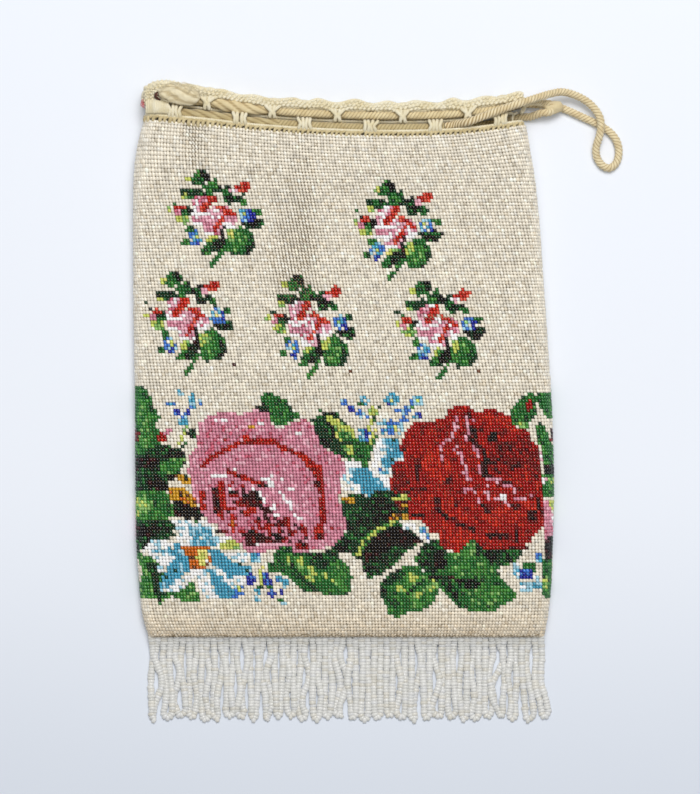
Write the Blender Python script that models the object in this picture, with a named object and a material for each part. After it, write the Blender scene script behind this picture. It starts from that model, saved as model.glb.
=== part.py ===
"""Beaded drawcord purse, as it lies on a table.

The bag is knitted in the round from threaded glass beads and sewn shut at the hem, where a fringe of
bead loops hangs. A crocheted casing is worked on to its mouth, and a twisted drawcord runs round it
twice, leaving it at the right. The purse lies on its back: +Y runs from the hem to the mouth, +X to
the right of the front and +Z up. Lengths are in metres.
"""

import math

import bmesh
import bpy
from mathutils import Vector

# The knitted bag
BODY_WIDTH = 0.1694
BODY_HEIGHT = 0.2016
BAG_WALL = 0.0015
HEM_THICKNESS = 0.0032
HEM_ROUNDING = 0.0080
HEM_SEAM = 0.0022
BAG_THICKNESS = 0.0080
BAG_FULLNESS = 0.0016
MOUTH_SLOPE = 0.0480
BEAD_PITCH = 0.00131
BEADS_PER_RIDGE = 3
RIDGE_DEPTH = 0.0004

# The outline: share of the height above the hem, then how far the left and the right edge lie inside
# the widest half width
OUTLINE = [
    (0.00, 0.0062, 0.0043),
    (0.05, 0.0035, 0.0025),
    (0.11, 0.0023, 0.0013),
    (0.20, 0.0011, 0.0007),
    (0.31, 0.0009, 0.0003),
    (0.47, 0.0007, 0.0013),
    (0.59, 0.0003, 0.0029),
    (0.75, 0.0000, 0.0051),
    (0.83, 0.0000, 0.0063),
    (0.91, 0.0003, 0.0081),
    (0.95, 0.0015, 0.0098),
    (1.00, 0.0045, 0.0117),
]

# How far the mouth line rises above a straight one: share of the half width, then the rise
MOUTH_RISE = [
    (-0.95, 0.0056),
    (-0.68, 0.0038),
    (-0.40, 0.0014),
    (-0.07, -0.0004),
    (0.24, -0.0010),
    (0.50, -0.0004),
    (0.69, 0.0012),
    (0.86, 0.0036),
]
RISE_FADES_OVER = 0.0260

# The drawcord
CORD_DIAMETER = 0.0031
CORD_ROOM = 0.00035
CORD_LEAD = 0.0010
CROSSING_POST_COUNT = 2
HELD_CORD_STEP = 2.5 * CORD_DIAMETER
LOOP_STEP = 1.3 * CORD_DIAMETER
END_STEP = 0.45 * CORD_DIAMETER
TURN_STEPS = 10

# The crocheted casing, whose two walls each hold the cord between yarn bars
YARN_BAR = 0.0005
MOUTH_OPENING = 0.0044
CASING_WALL = 2 * (YARN_BAR + CORD_ROOM) + CORD_DIAMETER
CASING_THICKNESS = 2 * CASING_WALL + MOUTH_OPENING
CASING_SET_IN = 0.0010
BASE_ROW = 0.0019
EYELET_ROW = CORD_DIAMETER + 2 * CORD_ROOM
MIDDLE_ROW = 0.0013
EDGING_ROW = 0.0031
CASING_ROWS = (BASE_ROW, EYELET_ROW, MIDDLE_ROW, EYELET_ROW, EDGING_ROW)
SCALLOP_RISE = 0.0016
FIRST_POST_IN = 0.0056
POST_PITCH = 0.0130
POST_WIDTH = 0.0052
END_POST_TURN = math.radians(25)
END_POST_STEPS = 4
STEPS_BETWEEN_POSTS = 3
LEFT_END_STRETCH = 0.18
STRETCH_STARTS_IN = 0.0501
STRETCH_FULL_IN = 0.0141

# The sides of one cell of the casing's net: the step to its neighbour along the ring, up the rows and
# into the wall, and the corners of the face between them
CELL_SIDES = [
    ((0, 0, -1), [(0, 0, 0), (1, 0, 0), (1, 1, 0), (0, 1, 0)]),
    ((0, 0, 1), [(0, 0, 1), (0, 1, 1), (1, 1, 1), (1, 0, 1)]),
    ((0, -1, 0), [(0, 0, 0), (0, 0, 1), (1, 0, 1), (1, 0, 0)]),
    ((0, 1, 0), [(0, 1, 0), (1, 1, 0), (1, 1, 1), (0, 1, 1)]),
    ((-1, 0, 0), [(0, 0, 0), (0, 1, 0), (0, 1, 1), (0, 0, 1)]),
    ((1, 0, 0), [(1, 0, 0), (1, 0, 1), (1, 1, 1), (1, 1, 0)]),
]

# The fringe
FRINGE_LOOP_COUNT = 32
FRINGE_LOOP_WIDTH = 0.00248
FRINGE_LENGTH = 0.0334
FRINGE_UNEVENNESS = 0.0017
FRINGE_STRAND = 0.0012
FRINGE_IN_FROM_EDGE = 0.0025
FRINGE_WAVE = 0.0003
FRINGE_SHARES = (0.0, 0.12, 0.42, 0.70, 0.93)

# The gap between two pieces that touch
SEAT_GAP = 0.0003

# How far what lies on the table stays above it
TABLE_GAP = 0.00005

MM = 0.001

COLOURS = {
    "ecru_beads": (0.62, 0.54, 0.42),
    "rose_beads": (0.66, 0.22, 0.27),
    "red_beads": (0.52, 0.03, 0.03),
    "maroon_beads": (0.16, 0.02, 0.03),
    "green_beads": (0.09, 0.24, 0.10),
    "dark_green_beads": (0.02, 0.06, 0.04),
    "blue_beads": (0.20, 0.38, 0.62),
    "pale_blue_beads": (0.47, 0.62, 0.66),
    "ochre_beads": (0.50, 0.28, 0.07),
}

# Fields of colour, as ellipses: colour, middle across and above the hem, half width, half height and
# tilt in degrees, in millimetres, later ones over earlier ones
POSY = [
    ("dark_green_beads", -3.0, 13.0, 6.0, 5.0, 0),
    ("green_beads", 12.0, -10.5, 6.5, 6.0, 20),
    ("dark_green_beads", 0.0, -15.0, 5.0, 5.5, 0),
    ("blue_beads", 14.0, -1.5, 5.0, 4.5, 0),
    ("blue_beads", -8.0, -10.5, 4.5, 4.0, 0),
    ("red_beads", 13.0, 9.0, 5.0, 3.6, 20),
    ("rose_beads", -1.0, 0.0, 11.0, 9.0, -20),
]
POSY_PLACES = [(-52.4, 171.2), (-62.8, 128.4), (-14.0, 126.0), (21.2, 164.6), (37.6, 124.8)]
GARLAND = [
    ("green_beads", -79.0, 85.0, 6.5, 14.0, 10),
    ("dark_green_beads", -74.0, 68.0, 11.0, 8.0, 0),
    ("green_beads", -76.0, 51.0, 9.0, 10.0, 0),
    ("dark_green_beads", -76.0, 41.0, 9.0, 6.0, 0),
    ("green_beads", -78.0, 24.0, 6.0, 10.0, 0),
    ("ochre_beads", -63.5, 60.0, 7.0, 7.0, -15),
    ("pale_blue_beads", -66.0, 92.0, 6.5, 5.0, 0),
    ("green_beads", -25.6, 92.0, 9.5, 7.0, 0),
    ("dark_green_beads", 1.0, 81.0, 14.0, 9.0, -35),
    ("blue_beads", 14.0, 90.0, 17.0, 8.0, -10),
    ("pale_blue_beads", 12.0, 69.5, 12.0, 12.0, 0),
    ("dark_green_beads", 17.0, 45.0, 17.0, 14.0, 35),
    ("pale_blue_beads", -60.0, 31.0, 21.0, 9.0, 20),
    ("pale_blue_beads", -58.0, 31.0, 20.0, 9.0, -50),
    ("ochre_beads", -58.4, 32.0, 4.5, 4.5, 0),
    ("blue_beads", -31.5, 21.5, 9.0, 6.5, 0),
    ("green_beads", -13.0, 27.0, 16.0, 8.0, -20),
    ("green_beads", 26.5, 20.0, 13.0, 10.0, 20),
    ("green_beads", 54.0, 20.5, 16.0, 9.5, -15),
    ("dark_green_beads", 52.0, 34.0, 19.0, 6.0, 0),
    ("green_beads", 71.0, 91.5, 6.0, 7.0, 0),
    ("green_beads", 82.0, 86.0, 4.5, 14.0, 0),
    ("rose_beads", 82.5, 47.0, 5.0, 8.0, 0),
    ("green_beads", 82.0, 27.0, 5.0, 9.0, 0),
    ("blue_beads", 76.0, 26.0, 5.0, 6.0, 0),
    ("rose_beads", -31.0, 63.0, 33.0, 28.5, -20),
    ("red_beads", -34.0, 60.0, 23.0, 20.0, -20),
    ("rose_beads", -33.5, 58.0, 18.5, 16.0, -20),
    ("maroon_beads", -38.5, 57.0, 7.0, 8.0, 0),
    ("red_beads", 48.5, 64.0, 31.5, 28.0, -15),
    ("maroon_beads", 60.0, 74.0, 12.0, 8.5, -25),
    ("rose_beads", 55.0, 62.0, 9.0, 3.5, -50),
]

# Routes of the free cord, as points that it passes through: across from the casing's right edge,
# above the bag's mouth and above the table, in millimetres
LONG_LOOP_ROUTE = [
    (-27.6, 3.6, 12.1),
    (-22.8, 4.2, 15.4),
    (-18.0, 5.9, 16.1),
    (-12.5, 7.9, 16.1),
    (-7.2, 9.9, 16.1),
    (-2.4, 11.5, 16),
    (2.4, 13.2, 14.6),
    (6.8, 14.8, 12.4),
    (10.4, 16.0, 10.2),
    (14.8, 17.0, 7.8),
    (18.8, 16.5, 6.2),
    (23.6, 14.6, 5.2),
    (27.6, 11.6, 4.9),
    (30.2, 8.0, 5),
    (31.2, 4.0, 5),
    (30.6, -0.4, 4.4),
    (29.4, -4.8, 3),
    (29.8, -8.8, 1.9),
    (32.0, -12.0, 1.6),
    (35.0, -13.0, 1.6),
    (37.6, -10.8, 1.6),
    (38.6, -6.8, 1.6),
    (37.8, -2.4, 1.6),
    (35.2, 1.2, 1.6),
    (31.2, 4.0, 1.6),
    (28.0, 5.6, 1.6),
    (23.6, 7.6, 1.6),
    (18.8, 9.8, 1.6),
    (14.4, 11.4, 1.6),
    (9.6, 12.3, 1.6),
    (4.8, 12.6, 1.6),
    (0.4, 12.6, 1.7),
    (-2.8, 12.1, 2),
]
JOIN_FRONT_ROUTE = [
    (-3.0, 12.0, 12),
    (0.0, 12.5, 12),
    (2.8, 12.9, 10.4),
    (5.4, 13.0, 7.4),
    (7.8, 12.6, 5.4),
    (9.6, 12.6, 5.2),
]
JOIN_BACK_ROUTE = [
    (-3.2, 7.0, 1.9),
    (0.0, 7.4, 1.65),
    (3.2, 7.5, 2.4),
    (5.8, 8.3, 4.4),
    (7.8, 8.9, 5.2),
    (9.6, 8.9, 5.2),
]
JOIN_LENGTH = 0.0055
JOIN_THICKNESS = 0.0032
JOIN_SECTIONS = [(0.0, 1.0), (0.25, 1.0), (0.55, 0.82), (0.80, 0.58), (0.95, 0.34), (1.0, 0.18)]
SPLICE_IN = 0.0138
SPLICE_ABOVE_MOUTH = 0.0160
SPLICE_SLANT = 0.0012
SPLICE_LENGTH = 0.0176
SPLICE_WIDTH = 0.0076
SPLICE_THICKNESS = 0.0034
SPLICE_SECTIONS = 8
SPLICE_TIP = 0.30
LUMP_SIDES = 12


def between(points, at, column):
    """The value in a column at a place along a list, on a smooth curve through its points."""
    if at <= points[0][0]:
        return points[0][column]
    if at >= points[-1][0]:
        return points[-1][column]
    i = max(k for k in range(len(points) - 1) if points[k][0] <= at)
    a, b = points[i], points[i + 1]
    before = points[max(i - 1, 0)]
    after = points[min(i + 2, len(points) - 1)]
    span = b[0] - a[0]
    slope_a = (b[column] - before[column]) / (b[0] - before[0]) * span
    slope_b = (after[column] - a[column]) / (after[0] - a[0]) * span
    t = (at - a[0]) / span
    return (
        a[column] * (2 * t**3 - 3 * t**2 + 1)
        + slope_a * (t**3 - 2 * t**2 + t)
        + b[column] * (3 * t**2 - 2 * t**3)
        + slope_b * (t**3 - t**2)
    )


def smoothstep(value):
    t = min(max(value, 0.0), 1.0)
    return t * t * (3 - 2 * t)


def edges(height):
    """The left and right edge of the bag at a height above the hem."""
    share = height / BODY_HEIGHT
    half = BODY_WIDTH / 2
    return between(OUTLINE, share, 1) - half, half - between(OUTLINE, share, 2)


def casing_left():
    return edges(BODY_HEIGHT)[0]


def casing_right():
    return edges(BODY_HEIGHT)[1] - CASING_SET_IN


def post_places():
    """Where the front's posts stand, from left to right."""
    straight = casing_right() - casing_left() - CASING_THICKNESS
    spacings = math.floor((straight - FIRST_POST_IN - POST_WIDTH / 2) / POST_PITCH + 0.01)
    first = casing_left() + CASING_THICKNESS / 2 + FIRST_POST_IN
    return [first + POST_PITCH * k for k in range(spacings + 1)]


def mouth_rise(x):
    return between(MOUTH_RISE, x / (BODY_WIDTH / 2), 1)


def thickness(height):
    """The bag's thickness: rounded off at the hem, a little full, and opening out to the casing."""
    round_off = math.sqrt(1 - (1 - min(height / HEM_ROUNDING, 1.0)) ** 2)
    full = BAG_FULLNESS * smoothstep(height / (BODY_HEIGHT / 2))
    open_out = smoothstep(1 - (BODY_HEIGHT - height) / MOUTH_SLOPE)
    flat = HEM_THICKNESS + (BAG_THICKNESS - HEM_THICKNESS) * round_off + full
    return flat + (CASING_THICKNESS - flat) * open_out


def material(name, colour, roughness):
    made = bpy.data.materials.new(name)
    made.use_nodes = True
    shader = made.node_tree.nodes["Principled BSDF"]
    shader.inputs["Base Color"].default_value = (*colour, 1.0)
    shader.inputs["Roughness"].default_value = roughness
    made.diffuse_color = (*colour, 1.0)
    return made


def add_object(name, data, origin):
    made = bpy.data.objects.new(name, data)
    bpy.context.collection.objects.link(made)
    made.parent = origin
    return made


def finish_mesh(name, mesh_builder, origin, materials):
    bmesh.ops.recalc_face_normals(mesh_builder, faces=mesh_builder.faces)
    mesh = bpy.data.meshes.new(name)
    mesh_builder.to_mesh(mesh)
    mesh_builder.free()
    for each in materials:
        mesh.materials.append(each)
    return add_object(name, mesh, origin)


def in_ellipse(x, y, field, middle):
    _, across, up, half_width, half_height, tilt = field
    dx = x / MM - middle[0] - across
    dy = y / MM - middle[1] - up
    turn = math.radians(tilt)
    along = (dx * math.cos(turn) + dy * math.sin(turn)) / half_width
    away = (dy * math.cos(turn) - dx * math.sin(turn)) / half_height
    return along * along + away * away < 1


def colour_at(x, y):
    """The bead colour at a place on the front."""
    colour = "ecru_beads"
    for place in POSY_PLACES:
        for field in POSY:
            if in_ellipse(x, y, field, place):
                colour = field[0]
    for field in GARLAND:
        if in_ellipse(x, y, field, (0, 0)):
            colour = field[0]
    return colour


def side_turns():
    """The angles of a rounded side edge, from the front to the back."""
    steps = 3
    return [math.radians(90 - 180 * k / steps) for k in range(steps + 1)]


def ring(builder, height, inset, front_inset, front, back):
    """One ring of the bag, as its front, its right edge, its back and its left edge."""
    left, right = edges(height)
    deep = thickness(height)
    radius = deep / 2
    rounding = radius - inset - front_inset / 2
    fade = smoothstep(1 - (BODY_HEIGHT - height) / RISE_FADES_OVER)
    top, low = deep - inset - front_inset, inset
    middle = (top + low) / 2

    def vertex(x, z):
        return builder.verts.new((x, height + fade * mouth_rise(x), z))

    def edge_vertices(centre, side):
        return [
            vertex(centre + side * rounding * math.cos(turn), middle + rounding * math.sin(turn))
            for turn in side_turns()
        ]

    return {
        "front": [(x, vertex(x, top)) for x in front],
        "right": edge_vertices(right - radius, 1),
        "back": [(x, vertex(x, low)) for x in back],
        "left": edge_vertices(left + radius, -1),
    }


def around(made):
    """A ring's vertices in order, from the left of the front."""
    front = [v for _, v in made["front"]]
    back = [v for _, v in made["back"]]
    return front + made["right"] + back[::-1] + made["left"][::-1]


def run(made, side, start, end):
    """The vertices of the front or back from one border to the next, with the edges past the last ones."""
    tip = 0 if side == "front" else -1
    span = [v for x, v in made[side] if start <= x <= end]
    if start == -math.inf:
        span.insert(0, made["left"][tip])
    if end == math.inf:
        span.append(made["right"][tip])
    return span


def band_faces(builder, lower, upper, side, borders):
    """The faces between two rings along the front or the back, one for each field between borders."""
    ends = [-math.inf, *borders, math.inf]
    return [
        builder.faces.new(run(lower, side, a, b) + run(upper, side, a, b)[::-1])
        for a, b in zip(ends, ends[1:])
    ]


def edge_faces(builder, lower, upper, side):
    low, up = lower[side], upper[side]
    return [
        builder.faces.new((low[k], low[k + 1], up[k + 1], up[k])) for k in range(len(low) - 1)
    ]


def colour_changes(height, left, right):
    """Where the colour changes along a row, to the width of a ridge."""
    step = BEAD_PITCH * BEADS_PER_RIDGE
    first = math.ceil(left / step + 0.25)
    last = math.floor(right / step - 0.25)
    places = [k * step for k in range(first, last + 1)]
    return [
        x for x in places if colour_at(x - step / 2, height) != colour_at(x + step / 2, height)
    ]


def bead_bag(origin, materials):
    """The knitted bag: a flattened tube with a ridge for every few rows of beads, shut at the hem."""
    names = list(COLOURS)
    rows = round(BODY_HEIGHT / (BEAD_PITCH * BEADS_PER_RIDGE))
    pitch = BODY_HEIGHT / rows
    bends = post_places()
    rising = [BODY_HEIGHT - (row + 0.5) * pitch < RISE_FADES_OVER + pitch for row in range(rows)]
    flats, borders = [], []
    for row in range(rows):
        heights = [min(max(k, 0), rows) * pitch for k in range(row - 1, row + 3)]
        left = max(edges(height)[0] + thickness(height) / 2 for height in heights)
        right = min(edges(height)[1] - thickness(height) / 2 for height in heights)
        changes = colour_changes((row + 0.5) * pitch, left, right)
        flats.append((left, right))
        borders.append(sorted({*changes, *(bends if rising[row] else [])}))

    builder = bmesh.new()
    outer = []
    for line in range(2 * rows + 1):
        crest = line % 2 == 1
        near = [line // 2] if crest else [row for row in (line // 2 - 1, line // 2) if 0 <= row < rows]
        front = sorted({x for row in near for x in borders[row]})
        back = bends if any(rising[row] for row in near) else []
        is_end = line in (0, 2 * rows)
        groove = 0.0 if crest or is_end else RIDGE_DEPTH
        outer.append(ring(builder, line * pitch / 2, 0.0, groove, front, back))
    for line, (lower, upper) in enumerate(zip(outer, outer[1:])):
        row = line // 2
        middle = (row + 0.5) * pitch
        ends = [flats[row][0], *borders[row], flats[row][1]]
        fields = band_faces(builder, lower, upper, "front", borders[row])
        for face, a, b in zip(fields, ends, ends[1:]):
            face.material_index = names.index(colour_at((a + b) / 2, middle))
        band_faces(builder, lower, upper, "back", bends if rising[row] else [])
        for side, x in zip(("left", "right"), edges(middle)):
            for face in edge_faces(builder, lower, upper, side):
                face.material_index = names.index(colour_at(x, middle))
    builder.faces.new(around(outer[0]))

    cavity = [HEM_SEAM, HEM_SEAM + HEM_ROUNDING / 2, HEM_SEAM + HEM_ROUNDING, BODY_HEIGHT / 3]
    cavity += [BODY_HEIGHT - MOUTH_SLOPE, BODY_HEIGHT - RISE_FADES_OVER, BODY_HEIGHT]
    mouth = [x for x, _ in outer[-1]["front"]]
    inner = [ring(builder, height, BAG_WALL, 0.0, [], []) for height in cavity[:-2]]
    inner += [ring(builder, height, BAG_WALL, 0.0, mouth, bends) for height in cavity[-2:]]
    builder.faces.new(around(inner[0]))
    for number, (lower, upper) in enumerate(zip(inner, inner[1:])):
        is_mouth = number == len(inner) - 2
        band_faces(builder, lower, upper, "front", mouth if is_mouth else [])
        band_faces(builder, lower, upper, "back", bends if is_mouth else [])
        edge_faces(builder, lower, upper, "left")
        edge_faces(builder, lower, upper, "right")
    rim, lip = around(outer[-1]), around(inner[-1])
    for k in range(len(rim)):
        after = (k + 1) % len(rim)
        builder.faces.new((rim[k], rim[after], lip[after], lip[k]))
    return finish_mesh("beaded_body", builder, origin, [materials[name] for name in names])


def casing_depths():
    """Depths in from the casing's outside: its outside, the cord's room, and its inside."""
    return [0.0, YARN_BAR, CASING_WALL - YARN_BAR, CASING_WALL]


def casing_lengths():
    """The length of the casing's straight front, and of its end's turn where the cord lies."""
    straight = casing_right() - casing_left() - CASING_THICKNESS
    return straight, math.pi * (CASING_THICKNESS - CASING_WALL) / 2


def casing_path(along, depth):
    """Across and up at a distance along the casing's ring, which starts at the left of the front."""
    radius = CASING_THICKNESS / 2
    straight, turn = casing_lengths()
    bend = turn / math.pi
    left, right = casing_left() + radius, casing_right() - radius
    along %= 2 * (straight + turn)
    reach = radius - depth
    if along <= straight:
        return left + along, radius + reach
    if along <= straight + turn:
        angle = math.pi / 2 - (along - straight) / bend
        return right + reach * math.cos(angle), radius + reach * math.sin(angle)
    if along <= 2 * straight + turn:
        return right - (along - straight - turn), radius - reach
    angle = -math.pi / 2 - (along - 2 * straight - turn) / bend
    return left + reach * math.cos(angle), radius + reach * math.sin(angle)


def casing_place(along, depth, rise):
    """A point of the casing: rise is its height above the bag's mouth."""
    x, z = casing_path(along, depth)
    start = casing_left() + STRETCH_STARTS_IN
    share = smoothstep((start - x) / (STRETCH_STARTS_IN - STRETCH_FULL_IN))
    stretch = 1 + LEFT_END_STRETCH * share
    return Vector((x, BODY_HEIGHT + SEAT_GAP + mouth_rise(x) + rise * stretch, z))


def casing_rises():
    """The heights above the mouth where the casing's rows start and end, from the base to the edging."""
    rises = [0.0]
    for row in CASING_ROWS:
        rises.append(rises[-1] + row)
    return rises


def along_front(x):
    """How far along the casing's ring a place on its front is."""
    return x - casing_left() - CASING_THICKNESS / 2


def casing_stations():
    """Places along the ring where a post starts or ends, and the steps between posts."""
    straight, turn = casing_lengths()
    bend = turn / math.pi
    front = [along_front(x) for x in post_places()]
    back = [2 * straight + turn - s for s in reversed(front)]
    half_end = bend * END_POST_TURN
    posts = [(s, POST_WIDTH / 2, 1) for s in front]
    posts += [(straight + turn / 2, half_end, END_POST_STEPS)]
    posts += [(s, POST_WIDTH / 2, 1) for s in back]
    posts += [(2 * straight + 1.5 * turn, half_end, END_POST_STEPS)]
    whole = 2 * (straight + turn)
    stations = []
    for number, (middle, half, steps) in enumerate(posts):
        for k in range(steps):
            stations.append((middle - half + 2 * half * k / steps, number, 0.0))
        following = posts[(number + 1) % len(posts)]
        gap_end = following[0] - following[1] + (whole if number == len(posts) - 1 else 0.0)
        gap_start = middle + half
        for k in range(STEPS_BETWEEN_POSTS):
            share = k / STEPS_BETWEEN_POSTS
            stations.append((gap_start + (gap_end - gap_start) * share, None, math.sin(math.pi * share)))
    return stations


def crochet_casing(origin, finish):
    """The casing: three rows joined by posts, which pass over one turn of the cord and under the other."""
    stations = casing_stations()
    depths = casing_depths()
    rises = casing_rises()

    def is_filled(step, row, layer):
        if not (0 <= row < len(CASING_ROWS) and 0 <= layer < len(depths) - 1):
            return False
        if layer == 1:
            return row % 2 == 0
        post = stations[step % len(stations)][1]
        if post is None:
            return False
        lower_shows = post % 2 == 0
        in_lower = row in (0, 1, 2)
        in_upper = row in (2, 3, 4)
        if layer == 0:
            return in_lower if lower_shows else in_upper
        return in_upper if lower_shows else in_lower

    builder = bmesh.new()
    corners = {}

    def corner(step, line, level):
        step %= len(stations)
        if (step, line, level) not in corners:
            along, _, bump = stations[step]
            scallop = {4: SCALLOP_RISE / 2, 5: SCALLOP_RISE}.get(line, 0.0)
            place = casing_place(along, depths[level], rises[line] + scallop * bump)
            corners[step, line, level] = builder.verts.new(place)
        return corners[step, line, level]

    for step in range(len(stations)):
        for row in range(len(CASING_ROWS)):
            for layer in range(len(depths) - 1):
                if not is_filled(step, row, layer):
                    continue
                for (along, up, inward), face in CELL_SIDES:
                    if not is_filled(step + along, row + up, layer + inward):
                        builder.faces.new([corner(step + a, row + b, layer + c) for a, b, c in face])
    return finish_mesh("crochet_casing", builder, origin, [finish])


def smooth_route(points, spacing):
    """Points at an even spacing on a smooth curve through the route's points."""
    route = [Vector(p) for p in points]
    fine = []
    for i in range(len(route) - 1):
        a, b = route[i], route[i + 1]
        before = route[i - 1] if i else a
        after = route[i + 2] if i + 2 < len(route) else b
        steps = 12
        for k in range(steps):
            t = k / steps
            fine.append(
                a * (2 * t**3 - 3 * t**2 + 1)
                + (b - before) / 2 * (t**3 - 2 * t**2 + t)
                + b * (3 * t**2 - 2 * t**3)
                + (after - a) / 2 * (t**3 - t**2)
            )
    fine.append(route[-1])
    lengths = [0.0]
    for a, b in zip(fine, fine[1:]):
        lengths.append(lengths[-1] + (b - a).length)
    count = max(2, round(lengths[-1] / spacing))
    spaced = []
    for k in range(count + 1):
        at = lengths[-1] * k / count
        i = min(max(j for j in range(len(lengths)) if lengths[j] <= at + 1e-12), len(fine) - 2)
        share = (at - lengths[i]) / (lengths[i + 1] - lengths[i])
        spaced.append(fine[i].lerp(fine[i + 1], share))
    return spaced


def tube(name, points, diameter, sides_setting, origin, finish):
    data = bpy.data.curves.new(name, "CURVE")
    data.dimensions = "3D"
    data.bevel_depth = diameter / 2
    data.bevel_resolution = sides_setting
    data.use_fill_caps = True
    spline = data.splines.new("POLY")
    spline.points.add(len(points) - 1)
    for point, place in zip(spline.points, points):
        point.co = (*place, 1.0)
    data.materials.append(finish)
    return add_object(name, data, origin)


def row_height(number):
    """The height of a turn of the cord above the bag's mouth, counted from the lower one."""
    rises = casing_rises()
    return (rises[2 * number + 1] + rises[2 * number + 2]) / 2


def held_cord(name, number, front_end_x, origin, finish):
    """A turn of the drawcord inside the casing, from the front's right end round the left to the back."""
    straight, turn = casing_lengths()
    front_stop = along_front(front_end_x)
    around_left = 2 * (straight + turn)
    steps_front = round(front_stop / HELD_CORD_STEP)
    steps_back = round(straight / HELD_CORD_STEP)
    alongs = [front_stop * (1 - k / steps_front) for k in range(steps_front)]
    alongs += [around_left - turn * k / TURN_STEPS for k in range(TURN_STEPS)]
    alongs += [around_left - turn - straight * k / steps_back for k in range(steps_back + 1)]
    points = [casing_place(along, CASING_WALL / 2, row_height(number)) for along in alongs]
    return tube(name, points, CORD_DIAMETER, 2, origin, finish)


def row_end(number, x, is_front):
    """Where a turn of the cord passes x, on the front or the back of the casing."""
    straight, turn = casing_lengths()
    along = along_front(x)
    if not is_front:
        along = 2 * straight + turn - along
    return casing_place(along, CASING_WALL / 2, row_height(number))


def cord_leaves_casing():
    return casing_right() - CASING_THICKNESS / 2


def cord_leaves_lower_row():
    return post_places()[-1 - CROSSING_POST_COUNT] + POST_WIDTH / 2 + CORD_LEAD


def route_points(route):
    """A route's points in the purse's own frame."""
    start = Vector((casing_right(), BODY_HEIGHT, 0.0))
    return [start + Vector(p) * MM for p in route]


def free_cords(origin, finish):
    """The cord outside its casing: a long loop, and two short ends that are sewn together."""
    edge = cord_leaves_casing() + SEAT_GAP
    loop = [row_end(0, cord_leaves_lower_row() + SEAT_GAP, True)]
    loop += [*route_points(LONG_LOOP_ROUTE), row_end(1, edge, False)]
    tube("drawcord_loop", smooth_route(loop, LOOP_STEP), CORD_DIAMETER, 2, origin, finish)
    front = [row_end(1, edge, True), *route_points(JOIN_FRONT_ROUTE)]
    tube("drawcord_end_front", smooth_route(front, END_STEP), CORD_DIAMETER, 2, origin, finish)
    back = [row_end(0, edge, False), *route_points(JOIN_BACK_ROUTE)]
    tube("drawcord_end_back", smooth_route(back, END_STEP), CORD_DIAMETER, 2, origin, finish)


def swept_lump(name, sections, origin, finish):
    """A soft lump through oval sections: middle, half width and half height of each, along +X."""
    builder = bmesh.new()
    rings = []
    for middle, half_width, half_height in sections:
        ring = []
        for k in range(LUMP_SIDES):
            turn = 2 * math.pi * k / LUMP_SIDES
            offset = Vector((0.0, half_width * math.cos(turn), half_height * math.sin(turn)))
            ring.append(builder.verts.new(middle + offset))
        rings.append(ring)
    for lower, upper in zip(rings, rings[1:]):
        for k in range(LUMP_SIDES):
            after = (k + 1) % LUMP_SIDES
            builder.faces.new((lower[k], lower[after], upper[after], upper[k]))
    builder.faces.new(rings[0])
    builder.faces.new(rings[-1])
    made = finish_mesh(name, builder, origin, [finish])
    made.data.shade_smooth()
    return made


def cord_join(origin, finish):
    """The sewn join of the drawcord's two ends: wide at the ends that it takes, narrow at its tip."""
    front_end = route_points(JOIN_FRONT_ROUTE)[-1]
    back_end = route_points(JOIN_BACK_ROUTE)[-1]
    middle = (front_end + back_end) / 2
    reach = abs(front_end.y - back_end.y) / 2 + CORD_DIAMETER / 2
    sections = []
    for share, size in JOIN_SECTIONS:
        place = middle + Vector((SEAT_GAP + JOIN_LENGTH * share, 0.0, 0.0))
        sections.append((place, reach * size, JOIN_THICKNESS / 2 * math.sqrt(size)))
    return swept_lump("cord_join", sections, origin, finish)


def cord_splice(origin, finish):
    """The frayed wad where the cord was pieced, lying on the front of the casing at the left."""
    x = casing_left() + SPLICE_IN
    y = BODY_HEIGHT + SPLICE_ABOVE_MOUTH
    z = CASING_THICKNESS + SEAT_GAP + SPLICE_THICKNESS / 2
    sections = []
    for k in range(SPLICE_SECTIONS):
        across = -1 + 2 * k / (SPLICE_SECTIONS - 1)
        size = max(SPLICE_TIP, math.sqrt(1 - across**2))
        place = Vector((x + across * SPLICE_LENGTH / 2, y - SPLICE_SLANT * across, z))
        sections.append((place, SPLICE_WIDTH / 2 * size, SPLICE_THICKNESS / 2 * size))
    return swept_lump("cord_splice", sections, origin, finish)


def fringe(origin, finish):
    """Loops of threaded beads, each with its two ends sewn into the hem."""
    left, right = edges(0.0)
    first, last = left + FRINGE_IN_FROM_EDGE, right - FRINGE_IN_FROM_EDGE
    pitch = (last - first) / (FRINGE_LOOP_COUNT - 1)
    rest = FRINGE_STRAND / 2 + TABLE_GAP
    for number in range(FRINGE_LOOP_COUNT):
        x = first + pitch * number
        long = FRINGE_LENGTH - FRINGE_UNEVENNESS * math.sin(2.4 * number) ** 2
        sway = FRINGE_WAVE * math.sin(1.7 * number)
        legs = []
        for side in (-1, 1):
            leg = []
            for share in FRINGE_SHARES:
                bend = sway * math.sin(2 * math.pi * share)
                drop = max(0.0, 1 - share / FRINGE_SHARES[1])
                z = rest + (HEM_THICKNESS / 2 - rest) * drop
                across = x + side * FRINGE_LOOP_WIDTH / 2 + bend
                leg.append(Vector((across, -SEAT_GAP - long * share, z)))
            legs.append(leg)
        tip = Vector((x, -SEAT_GAP - long, rest))
        points = legs[0] + [tip] + legs[1][::-1]
        tube(f"fringe_loop_{number + 1:02d}", points, FRINGE_STRAND, 0, origin, finish)


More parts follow.
